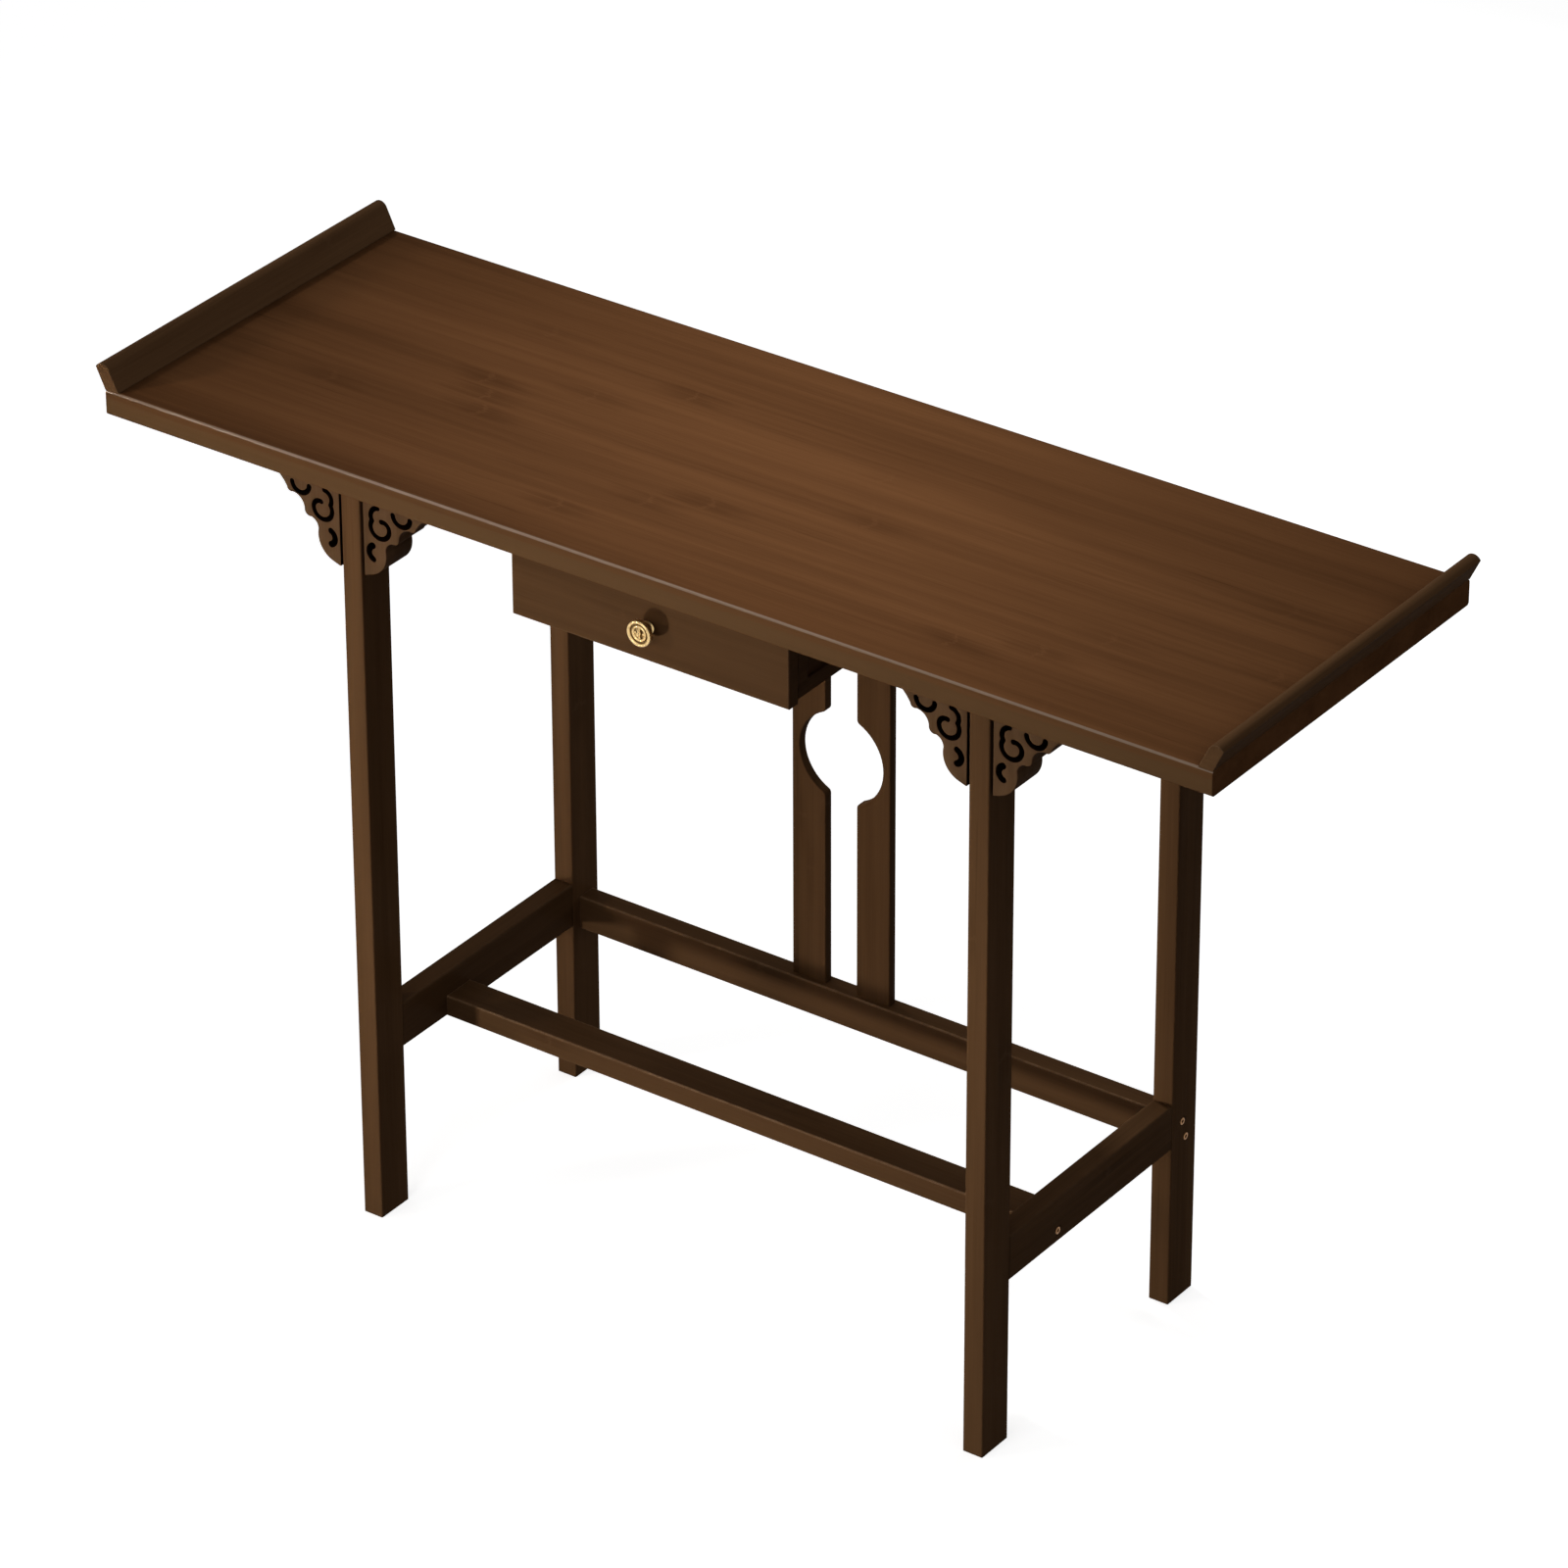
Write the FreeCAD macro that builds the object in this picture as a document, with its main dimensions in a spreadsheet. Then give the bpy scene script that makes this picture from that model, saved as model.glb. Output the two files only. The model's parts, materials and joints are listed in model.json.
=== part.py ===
import FreeCAD, Part
import math
import os
from types import SimpleNamespace

import Sketcher
from FreeCAD import Placement, Rotation, Vector

# An altar table in stained laminated bamboo: a long top with upturned ends on four
# slim legs, carved scroll spandrels, two moon-gate splats at the back and one drawer.
# Millimetres. +X runs along the top, -Y is the front, +Z is up, the floor is Z = 0.

SIZES = {
    "top_length": 1180.0,
    "top_depth": 404.0,
    "top_thickness": 25.0,
    "top_height": 800.0,
    "top_edge_round": 3.0,
    "flange_base": 14.5,
    "flange_lean": 10.0,
    "flange_side_height": 21.0,
    "flange_crown": 4.4,
    "leg_span": 696.0,
    "leg_width": 21.0,
    "leg_depth": 40.0,
    "leg_inset_front": 30.0,
    "leg_inset_back": 34.0,
    "edge_round": 1.2,
    "upper_rail_height": 40.0,
    "back_rail_height": 60.0,
    "side_stretcher_bottom": 168.0,
    "side_stretcher_height": 46.0,
    "back_stretcher_bottom": 161.0,
    "back_stretcher_height": 35.0,
    "back_stretcher_depth": 20.5,
    "back_stretcher_setback": 11.0,
    "front_stretcher_height": 21.5,
    "front_stretcher_depth": 36.0,
    "front_stretcher_setback": 65.0,
    "splat_width": 37.0,
    "splat_gap": 35.0,
    "splat_thickness": 10.0,
    "splat_middle": -29.0,
    "moon_radius": 46.5,
    "moon_height": 443.0,
    "moon_corner_round": 5.0,
    "tenon_length": 8.0,
    "tenon_shoulder": 5.0,
    "tenon_cheek": 2.0,
    "joint_clearance": 0.1,
    "spandrel_width": 84.0,
    "spandrel_height": 93.0,
    "spandrel_reveal": 1.0,
    "spandrel_gap": 3.0,
    "spandrel_gap_depth": 14.0,
    "scroll_slot": 4.8,
    "scroll_radius": 10.4,
    "scroll_curl_radius": 7.0,
    "scroll_hook_radius": 9.0,
    "bean_slot": 6.2,
    "bean_radius": 7.3,
    "crescent_slot": 5.0,
    "crescent_radius": 9.6,
    "spandrel_peg_foot_inset": 9.5,
    "spandrel_peg_tip_inset": 16.8,
    "drawer_front_width": 297.0,
    "drawer_front_height": 68.0,
    "drawer_front_thickness": 14.0,
    "drawer_front_setback": 17.0,
    "drawer_top_gap": 2.0,
    "drawer_front_gap": 3.0,
    "case_side_inset": 1.5,
    "case_side_thickness": 12.0,
    "case_bottom_rise": 3.0,
    "case_rear_gap": 17.0,
    "case_frame": 14.0,
    "case_field_depth": 3.0,
    "case_back_thickness": 10.0,
    "case_housing": 5.0,
    "runner_height": 10.0,
    "runner_projection": 6.0,
    "runner_rise": 30.0,
    "runner_clearance": 0.4,
    "drawer_side_thickness": 12.0,
    "drawer_side_gap": 1.0,
    "drawer_side_rise": 8.0,
    "drawer_side_height": 50.0,
    "drawer_rear_gap": 15.0,
    "drawer_back_thickness": 10.0,
    "drawer_bottom_thickness": 5.0,
    "drawer_bottom_rise": 5.0,
    "drawer_groove": 4.5,
    "knob_radius": 12.5,
    "knob_reach": 16.0,
    "knob_dish_depth": 1.6,
    "knob_dome_swell": 0.2,
    "knob_rim_width": 2.75,
    "knob_groove_depth": 1.9,
    "knob_shoulder_depth": 2.6,
    "knob_edge_depth": 5.1,
    "knob_edge_taper": 0.5,
    "knob_back_depth": 6.7,
    "knob_back_radius": 9.0,
    "knob_neck_depth": 11.0,
    "knob_neck_radius": 5.0,
    "knob_foot_radius": 6.25,
    "knob_screw_radius": 2.0,
    "knob_screw_head_radius": 4.0,
    "knob_screw_head_height": 2.0,
    "knob_screw_bite": 7.2,
    "dowel_radius": 4.0,
    "dowel_reach": 18.0,
    "dowel_spacing": 20.0,
    "peg_radius": 3.0,
    "peg_reach": 8.0,
    "bolt_radius": 2.9,
    "bolt_head_radius": 4.6,
    "bolt_head_thickness": 2.0,
    "bolt_reach": 30.0,
    "bolt_stagger": 6.0,
    "upper_bolt_drop": 7.0,
    "lower_bolt_rise": 9.0,
    "front_bolt_setback": 12.0,
    "insert_radius": 4.6,
    "insert_length": 14.0,
    "top_screw_radius": 2.2,
    "top_screw_head_radius": 4.4,
    "top_screw_head_height": 3.0,
    "top_screw_bite": 15.0,
    "top_screw_web": 18.0,
    "runner_screw_radius": 1.5,
    "runner_screw_head_radius": 3.0,
    "runner_screw_bite": 8.0,
}


class Size:
    """A length in millimetres, with the cell expression that it comes from."""

    def __init__(self, value, text):
        self.value = float(value)
        self.text = text

    def __add__(self, other):
        other = as_size(other)
        return Size(self.value + other.value, f"({self.text} + {other.text})")

    def __radd__(self, other):
        return as_size(other) + self

    def __sub__(self, other):
        other = as_size(other)
        return Size(self.value - other.value, f"({self.text} - {other.text})")

    def __rsub__(self, other):
        return as_size(other) - self

    def __mul__(self, factor):
        factor = as_size(factor)
        return Size(self.value * factor.value, f"({self.text} * {factor.text})")

    __rmul__ = __mul__

    def __truediv__(self, divisor):
        divisor = as_size(divisor)
        return Size(self.value / divisor.value, f"({self.text} / {divisor.text})")

    def __neg__(self):
        return Size(-self.value, f"(0 - {self.text})")


def as_size(thing):
    """Give a plain number the form of a size."""
    if isinstance(thing, Size):
        return thing
    return Size(thing, f"({float(thing):.6f})")


def root(size):
    """The square root of a size's number."""
    return Size(math.sqrt(size.value), f"sqrt({size.text})")


os.makedirs("parts", exist_ok=True)
doc = FreeCAD.newDocument("altar_table")
sheet = doc.addObject("Spreadsheet::Sheet", "Sizes")
for row, (alias, number) in enumerate(SIZES.items(), start=1):
    sheet.set(f"A{row}", alias)
    sheet.set(f"B{row}", str(number))
    sheet.setAlias(f"B{row}", alias)
doc.recompute()
s = SimpleNamespace(**{alias: Size(number, f"Sizes.{alias}") for alias, number in SIZES.items()})

LEFT, RIGHT = -1, 1
SAME_PLACE = 1e-4
nodes = {}


def bind(thing, prop, size):
    """Tie one property of an object to its expression."""
    thing.setExpression(prop, as_size(size).text)


def keep(label, thing):
    """Give a finished piece its name and list it for writing."""
    thing.Label = label
    nodes[label] = thing
    return thing


def box(x, y, z):
    """A block between two limits along each axis."""
    block = doc.addObject("Part::Box", "block")
    for prop, axis, (low, high) in zip(("Length", "Width", "Height"), "xyz", (x, y, z)):
        bind(block, prop, high - low)
        bind(block, f"Placement.Base.{axis}", low)
    return block


TURNS = {
    "+x": Rotation(Vector(0, 1, 0), 90),
    "-x": Rotation(Vector(0, 1, 0), -90),
    "+y": Rotation(Vector(1, 0, 0), -90),
    "-y": Rotation(Vector(1, 0, 0), 90),
    "+z": Rotation(),
}


def rod(direction, start, radius, length):
    """A round bar from a start point along a direction."""
    bar = doc.addObject("Part::Cylinder", "rod")
    bar.Placement = Placement(Vector(), TURNS[direction])
    bind(bar, "Radius", radius)
    bind(bar, "Height", length)
    for axis, size in zip("xyz", start):
        bind(bar, f"Placement.Base.{axis}", size)
    return bar


def taper(direction, start, radius, end_radius, length):
    """A cone from a start point along a direction."""
    cone = doc.addObject("Part::Cone", "taper")
    cone.Placement = Placement(Vector(), TURNS[direction])
    bind(cone, "Radius1", radius)
    bind(cone, "Radius2", end_radius)
    bind(cone, "Height", length)
    for axis, size in zip("xyz", start):
        bind(cone, f"Placement.Base.{axis}", size)
    return cone


def joined(things):
    """One solid out of several that meet."""
    fuse = doc.addObject("Part::MultiFuse", "joined")
    fuse.Shapes = things
    return fuse


def cut(base, tools):
    """A piece less its holes and recesses."""
    piece = doc.addObject("Part::Cut", "cut")
    piece.Base = base
    piece.Tool = tools[0] if len(tools) == 1 else joined(tools)
    return piece


def group(label, things):
    """Alike fasteners that share one name."""
    bundle = doc.addObject("Part::Compound", "bundle")
    bundle.Links = things
    return keep(label, bundle)


def moved(start, direction, distance):
    """A point shifted along a direction."""
    sign = 1 if direction[0] == "+" else -1
    return tuple(
        at + sign * distance if axis == direction[1] else as_size(at)
        for axis, at in zip("xyz", start)
    )


# Sketches: a closed outline is a list of steps from a start corner. A step is the next
# corner, or a point on the way and the next corner where the side is an arc.

PLANES = {"xy": "XY_Plane", "xz": "XZ_Plane", "yz": "YZ_Plane"}


def new_sketch(body, plane, offset):
    """A sketch on one of the body's own planes, moved along that plane's normal."""
    sketch = body.newObject("Sketcher::SketchObject", "sketch")
    origin_plane = next(o for o in body.Origin.OriginFeatures if o.Role == PLANES[plane])
    sketch.AttachmentSupport = [(origin_plane, "")]
    sketch.MapMode = "FlatFace"
    bind(sketch, "AttachmentOffset.Base.z", offset)
    return sketch


def pin_point(sketch, geometry, end, corner):
    """Hold one point of a sketch at its two distances from the origin."""
    for kind, size in zip(("DistanceX", "DistanceY"), corner):
        size = as_size(size)
        index = sketch.addConstraint(
            Sketcher.Constraint(kind, -1, 1, geometry, end, size.value)
        )
        sketch.setExpression(f"Constraints[{index}]", size.text)


def at_plane(corner):
    """A corner of an outline as a vector in its sketch."""
    return Vector(as_size(corner[0]).value, as_size(corner[1]).value, 0)


def arc_by_way(start, middle, end):
    """The arc from start to end by way of middle, and whether it runs anticlockwise."""
    drawn = Part.Circle(start, middle, end)
    anticlockwise = (middle - start).cross(end - middle).z > 0
    first, last = (start, end) if anticlockwise else (end, start)
    circle = Part.Circle(drawn.Center, Vector(0, 0, 1), drawn.Radius)
    from_angle = circle.parameter(first)
    to_angle = circle.parameter(last)
    if to_angle < from_angle:
        to_angle += 2 * math.pi
    return Part.ArcOfCircle(circle, from_angle, to_angle), anticlockwise


def draw_outline(sketch, start, steps):
    """Draw one closed outline and pin every corner to its sizes."""
    here = start
    joins = []
    for step in steps:
        if len(step) == 2:
            side = sketch.addGeometry(Part.LineSegment(at_plane(here), at_plane(step)))
            begin, end, target = 1, 2, step
        else:
            middle, target = step[:2], step[2:]
            arc, anticlockwise = arc_by_way(at_plane(here), at_plane(middle), at_plane(target))
            side = sketch.addGeometry(arc)
            begin, end = (1, 2) if anticlockwise else (2, 1)
            way = sketch.addGeometry(Part.Point(at_plane(middle)), True)
            pin_point(sketch, way, 1, middle)
            sketch.addConstraint(Sketcher.Constraint("PointOnObject", way, 1, side))
        pin_point(sketch, side, begin, here)
        joins.append((side, begin, end))
        here = target
    for (side, _, end), (other, begin, _) in zip(joins, joins[1:] + joins[:1]):
        sketch.addConstraint(Sketcher.Constraint("Coincident", side, end, other, begin))


def pad(body, sketch, length):
    """Thicken a sketch along its plane's normal."""
    feature = body.newObject("PartDesign::Pad", "pad")
    feature.Profile = sketch
    bind(feature, "Length", length)
    return feature


def prism(plane, offset, length, start, steps):
    """A body whose section is one outline."""
    body = doc.addObject("PartDesign::Body", "body")
    sketch = new_sketch(body, plane, offset)
    draw_outline(sketch, start, steps)
    pad(body, sketch, length)
    return body


CORNER = 1 - math.sqrt(0.5)


def eased_bar(plane, along, u, v, radius):
    """A straight bar between two limits along its run, with its four long edges eased."""
    (u0, u1), (v0, v1) = u, v
    nick = radius * CORNER
    start = (u0 + radius, v0)
    steps = [
        (u1 - radius, v0),
        (u1 - nick, v0 + nick, u1, v0 + radius),
        (u1, v1 - radius),
        (u1 - nick, v1 - nick, u1 - radius, v1),
        (u0 + radius, v1),
        (u0 + nick, v1 - nick, u0, v1 - radius),
        (u0, v0 + radius),
        (u0 + nick, v0 + nick, u0 + radius, v0),
    ]
    low, high = along
    # The XZ plane looks towards the front, so its offset and run go from back to front.
    offset = -high if plane == "xz" else low
    return prism(plane, offset, high - low, start, steps)


def mirrored_span(side, low, high):
    """Limits along X on the right side, or the same ones turned over on the left."""
    return (low, high) if side == RIGHT else (-high, -low)


def side_name(side):
    return "left" if side == LEFT else "right"


def inward(side):
    return "-x" if side == RIGHT else "+x"


def outward(side):
    return "+x" if side == RIGHT else "-x"


# Main lines of the table
half_length = s.top_length / 2
front_edge = -s.top_depth / 2
back_edge = s.top_depth / 2
underside = s.top_height - s.top_thickness
leg_out = s.leg_span / 2
leg_in = leg_out - s.leg_width
leg_middle = leg_out - s.leg_width / 2
front_leg = (front_edge + s.leg_inset_front, front_edge + s.leg_inset_front + s.leg_depth)
back_leg = (back_edge - s.leg_inset_back - s.leg_depth, back_edge - s.leg_inset_back)
upper_rail = (underside - s.upper_rail_height, underside)
side_stretcher = (s.side_stretcher_bottom, s.side_stretcher_bottom + s.side_stretcher_height)
back_bar = (
    back_leg[0] + s.back_stretcher_setback,
    back_leg[0] + s.back_stretcher_setback + s.back_stretcher_depth,
)
back_bar_middle = (back_bar[0] + back_bar[1]) / 2
back_stretcher = (s.back_stretcher_bottom, s.back_stretcher_bottom + s.back_stretcher_height)
back_rail = (underside - s.back_rail_height, underside)
front_bar = (
    front_leg[1] + s.front_stretcher_setback,
    front_leg[1] + s.front_stretcher_setback + s.front_stretcher_depth,
)
front_stretcher = (
    s.side_stretcher_bottom,
    s.side_stretcher_bottom + s.front_stretcher_height,
)


# Joinery: a dowel or peg is one short bar, and its hole in each piece is a little larger
def hole(direction, start, radius, depth):
    """The hole for a bar, longer and wider by the joint's clearance."""
    begin = moved(start, direction, -s.joint_clearance)
    return rod(direction, begin, radius + s.joint_clearance, depth + 2 * s.joint_clearance)


def dowel_pair_heights(low, high):
    """Two dowels about the middle of a rail's height."""
    middle = (low + high) / 2
    return (middle - s.dowel_spacing / 2, middle + s.dowel_spacing / 2)


def rail_dowel_starts(side):
    """Start points and directions of the dowels at the ends of both rails of one side."""
    for low, high in (upper_rail, side_stretcher):
        for z in dowel_pair_heights(low, high):
            for end, into_rail in ((front_leg[1], "+y"), (back_leg[0], "-y")):
                yield (side * leg_middle, end, z), into_rail


def back_rail_dowel_starts(side):
    """Start points of the dowels where the upper back rail meets a back leg."""
    for z in dowel_pair_heights(*back_rail):
        yield (side * leg_in, back_bar_middle, z), inward(side)


def dowel(start, direction, reach, radius):
    """A dowel that reaches as far on both sides of a joint."""
    return rod(direction, moved(start, direction, -reach), radius, 2 * reach)


def dowel_hole(start, direction, reach, radius):
    return hole(direction, moved(start, direction, -reach), radius, 2 * reach)


back_rail_reach = s.leg_width / 2

# Bolts with flush heads: two staggered ones through each back leg into the back
# stretcher, and one through each side stretcher into the front stretcher.
def back_bolt_starts(side):
    """Where the heads of a back leg's bolts lie on its outer face."""
    face = side * leg_out
    stagger = s.bolt_stagger / 2
    yield (face, back_bar_middle - stagger, back_stretcher[1] - s.upper_bolt_drop)
    yield (face, back_bar_middle + stagger, back_stretcher[0] + s.lower_bolt_rise)


def front_bolt_start(side):
    """Where the head of a side stretcher's bolt lies on its outer face."""
    along = front_bar[0] + s.front_bolt_setback
    return (side * leg_out, along, (front_stretcher[0] + front_stretcher[1]) / 2)


def bolt(side, start):
    way = inward(side)
    head = rod(way, start, s.bolt_head_radius, s.bolt_head_thickness)
    shank = rod(way, start, s.bolt_radius, s.leg_width + s.bolt_reach)
    return joined([head, shank])


def bolt_holes(side, start):
    """The hole through the outer piece, with a recess for the head."""
    way = inward(side)
    return [
        hole(way, start, s.bolt_head_radius, s.bolt_head_thickness - s.joint_clearance),
        hole(way, start, s.bolt_radius, s.leg_width),
    ]


def insert_at(side, start):
    """A threaded sleeve in the end of the far bar."""
    way = inward(side)
    seat = moved(start, way, s.leg_width)
    sleeve = rod(way, seat, s.insert_radius, s.insert_length)
    return cut(sleeve, [hole(way, seat, s.bolt_radius, s.insert_length)])


def insert_holes(side, start):
    way = inward(side)
    seat = moved(start, way, s.leg_width)
    return [
        hole(way, seat, s.insert_radius, s.insert_length),
        hole(way, seat, s.bolt_radius, s.bolt_reach),
    ]


# Spandrels: the four carved brackets beside the front legs. Their outline is three
# hollow steps with small noses between them and a full lobe at the foot. Points are
# shares of the bracket's width (from the leg) and height (down from the top).
SPANDREL_START = (0.0, 0.0)
SPANDREL_STEPS = (
    (1.0, 0.0),
    (1.0, 0.123),
    (0.84, 0.209, 0.735, 0.327),
    (0.717, 0.358, 0.66, 0.364),
    (0.558, 0.4, 0.505, 0.506),
    (0.479, 0.557, 0.417, 0.568),
    (0.352, 0.605, 0.325, 0.674),
    (0.282, 0.873, 0.155, 0.967),
    (0.05, 1.0),
    (0.0, 1.0),
    (0.0, 0.0),
)
SCROLL_CENTRE = (0.256, 0.441)
HOOK_CENTRE = (0.244, 0.328)
BEAN_CENTRE = (0.19, 0.725)
CRESCENT_CENTRE = (0.548, 0.241)
# Each slot runs between two angles, in degrees, from the line away from the leg.
SCROLL_SWEEP = (0.0, 208.0)
CURL_SWEEP = (-105.0, 0.0)
HOOK_SWEEP = (148.0, 262.0)
BEAN_SWEEP = (112.0, 246.0)
CRESCENT_SWEEP = (5.0, 175.0)
# What a pierced bracket keeps of its volume at most, so that no slot points at thin air
MOST_LEFT = 0.97


def arc_slot_steps(centre, radius, width, first, last):
    """An arched slot with round ends, between two angles about its centre."""
    outer = radius + width / 2
    inner = radius - width / 2
    middle = (first + last) / 2

    def at(reach, angle, forward=0.0):
        turn = math.radians(angle)
        ahead = turn + math.pi / 2
        u = centre[0] + reach * math.cos(turn) + width * (forward * math.cos(ahead))
        v = centre[1] + reach * math.sin(turn) + width * (forward * math.sin(ahead))
        return u, v

    steps = [
        (*at(outer, middle), *at(outer, last)),
        (*at(radius, last, 0.5), *at(inner, last)),
        (*at(inner, middle), *at(inner, first)),
        (*at(radius, first, -0.5), *at(outer, first)),
    ]
    return at(outer, first), steps


def spandrel(leg_face, away):
    """One bracket that stands away from a leg's face, pierced by its scrolls."""
    body = doc.addObject("PartDesign::Body", "body")
    near = front_leg[0] + s.spandrel_reveal
    far = front_leg[1] - s.spandrel_reveal

    def place(u, w):
        return leg_face + away * u, underside - w

    def share(point):
        return s.spandrel_width * point[0], s.spandrel_height * point[1]

    def from_leg(step):
        pairs = zip(step[::2], step[1::2])
        return tuple(size for pair in pairs for size in place(*share(pair)))

    def turned(step):
        pairs = zip(step[::2], step[1::2])
        return tuple(size for pair in pairs for size in place(*pair))

    sketch = new_sketch(body, "xz", -far)
    draw_outline(sketch, from_leg(SPANDREL_START), [from_leg(step) for step in SPANDREL_STEPS])
    pad(body, sketch, far - near)
    doc.recompute()
    whole = body.Shape.Volume
    ring = share(SCROLL_CENTRE)
    curl = (ring[0] + s.scroll_radius - s.scroll_curl_radius, ring[1])
    scrolls = (
        (ring, s.scroll_radius, s.scroll_slot, SCROLL_SWEEP),
        (curl, s.scroll_curl_radius, s.scroll_slot, CURL_SWEEP),
        (share(HOOK_CENTRE), s.scroll_hook_radius, s.scroll_slot, HOOK_SWEEP),
        (share(BEAN_CENTRE), s.bean_radius, s.bean_slot, BEAN_SWEEP),
        (share(CRESCENT_CENTRE), s.crescent_radius, s.crescent_slot, CRESCENT_SWEEP),
    )
    for centre, radius, slot, sweep in scrolls:
        start, steps = arc_slot_steps(centre, radius, slot, *sweep)
        carving = new_sketch(body, "xz", -far)
        draw_outline(carving, turned(start), [turned(step) for step in steps])
        pierced = body.newObject("PartDesign::Pocket", "scroll")
        pierced.Profile = carving
        pierced.Reversed = True
        bind(pierced, "Length", far - near)
    doc.recompute()
    if body.Shape.Volume > MOST_LEFT * whole:
        raise ValueError("the scrolls of a spandrel cut nothing")
    return body


def shadow_gap(leg_face, away):
    """The rebate that leaves a dark line between a bracket's front and its leg."""
    near = front_leg[0] + s.spandrel_reveal
    foot = underside - s.spandrel_height
    beside = leg_face + away * s.spandrel_gap
    across = (leg_face, beside) if away == 1 else (beside, leg_face)
    front_to_back = (near - s.joint_clearance, near + s.spandrel_gap_depth)
    return box(across, front_to_back, (foot - s.joint_clearance, underside + s.joint_clearance))


def spandrel_peg_starts(leg_face, away):
    """Pegs that hold a bracket: one into the leg and one into the top."""
    middle = (front_leg[0] + front_leg[1]) / 2
    direction = "+x" if away == 1 else "-x"
    beside = s.spandrel_height - s.spandrel_peg_foot_inset
    above = s.spandrel_width - s.spandrel_peg_tip_inset
    yield (leg_face, middle, underside - beside), direction
    yield (leg_face + away * above, middle, underside), "+z"


SPANDRELS = {
    "spandrel_left_outer": (-leg_out, -1),
    "spandrel_left_inner": (-leg_in, 1),
    "spandrel_right_inner": (leg_in, -1),
    "spandrel_right_outer": (leg_out, 1),
}
spandrel_pegs = []
top_peg_holes = []
front_leg_peg_holes = {LEFT: [], RIGHT: []}
for label, (leg_face, away) in SPANDRELS.items():
    starts = list(spandrel_peg_starts(leg_face, away))
    holes = [dowel_hole(*start, s.peg_reach, s.peg_radius) for start in starts]
    bracket = spandrel(leg_face, away)
    keep(label, cut(bracket, holes + [shadow_gap(leg_face, away)]))
    spandrel_pegs += [dowel(*start, s.peg_reach, s.peg_radius) for start in starts]
    leg_side = LEFT if "left" in label else RIGHT
    front_leg_peg_holes[leg_side].append(dowel_hole(*starts[0], s.peg_reach, s.peg_radius))
    top_peg_holes.append(dowel_hole(*starts[1], s.peg_reach, s.peg_radius))
group("spandrel_pegs", spandrel_pegs)

# Legs, and the rails and stretchers of the two side frames
side_rails = {}
for side in (LEFT, RIGHT):
    leg_x = mirrored_span(side, leg_in, leg_out)
    dowels = list(rail_dowel_starts(side))
    into_front = [start for start in dowels if start[1] == "+y"]
    into_back = [start for start in dowels if start[1] == "-y"]
    front_holes = [dowel_hole(*start, s.dowel_reach, s.dowel_radius) for start in into_front]
    leg = eased_bar("xy", (as_size(0), underside), leg_x, front_leg, s.edge_round)
    keep(f"leg_front_{side_name(side)}", cut(leg, front_holes + front_leg_peg_holes[side]))

    back_holes = [dowel_hole(*start, s.dowel_reach, s.dowel_radius) for start in into_back]
    for start in back_rail_dowel_starts(side):
        back_holes.append(dowel_hole(*start, back_rail_reach, s.dowel_radius))
    for start in back_bolt_starts(side):
        back_holes += bolt_holes(side, start)
    leg = eased_bar("xy", (as_size(0), underside), leg_x, back_leg, s.edge_round)
    keep(f"leg_back_{side_name(side)}", cut(leg, back_holes))

    run = (front_leg[1], back_leg[0])
    low_holes = []
    high_holes = []
    for start, direction in dowels:
        target = high_holes if start[2].value > side_stretcher[1].value else low_holes
        target.append(dowel_hole(start, direction, s.dowel_reach, s.dowel_radius))
    low_holes += bolt_holes(side, front_bolt_start(side))
    stretcher = eased_bar("xz", run, leg_x, side_stretcher, s.edge_round)
    keep(f"side_stretcher_{side_name(side)}", cut(stretcher, low_holes))
    rail = eased_bar("xz", run, leg_x, upper_rail, s.edge_round)
    side_rails[f"upper_side_rail_{side_name(side)}"] = (rail, high_holes)

# Top screws stand in deep recesses from below: three in each upper side rail, and four
# in the upper back rail, clear of the splats' mortises.
SIDE_SCREW_SHARES = (0.15, 0.5, 0.85)
BACK_SCREW_SHARES = (0.15, 0.35, 0.65, 0.85)


def top_screw_spots():
    """Places of the top screws, by the rail that they pass through."""
    for share in SIDE_SCREW_SHARES:
        along = front_leg[1] + (back_leg[0] - front_leg[1]) * share
        yield "upper_side_rail_left", (-leg_middle, along), s.upper_rail_height
        yield "upper_side_rail_right", (leg_middle, along), s.upper_rail_height
    for share in BACK_SCREW_SHARES:
        across = -leg_in + (leg_in * 2) * share
        yield "upper_back_rail", (across, back_bar_middle), s.back_rail_height


def top_screw(spot):
    low = underside - s.top_screw_web
    head = taper(
        "+z",
        (*spot, low),
        s.top_screw_head_radius,
        s.top_screw_radius,
        s.top_screw_head_height,
    )
    shank = rod("+z", (*spot, low), s.top_screw_radius, s.top_screw_web + s.top_screw_bite)
    return joined([head, shank])


def top_screw_hole(spot, height):
    """A recess up to the screw's head, and the screw's own hole through the rest."""
    recess_top = underside - s.top_screw_web + s.top_screw_head_height
    recess = rod(
        "+z",
        (*spot, underside - height),
        s.top_screw_head_radius + s.joint_clearance,
        recess_top - underside + height,
    )
    shank = hole("+z", (*spot, underside - height), s.top_screw_radius, height)
    return [recess, shank]


rail_screw_holes = {}
top_screw_holes = []
top_screws = []
for rail_name, spot, height in top_screw_spots():
    rail_screw_holes.setdefault(rail_name, []).extend(top_screw_hole(spot, height))
    top_screw_holes.append(hole("+z", (*spot, underside), s.top_screw_radius, s.top_screw_bite))
    top_screws.append(top_screw(spot))
group("top_screws", top_screws)
for rail_name, (rail, holes) in side_rails.items():
    keep(rail_name, cut(rail, holes + rail_screw_holes[rail_name]))

# Back and front stretchers, and the upper back rail
across = (-leg_in, leg_in)
splat_y = (back_bar_middle - s.splat_thickness / 2, back_bar_middle + s.splat_thickness / 2)


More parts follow.
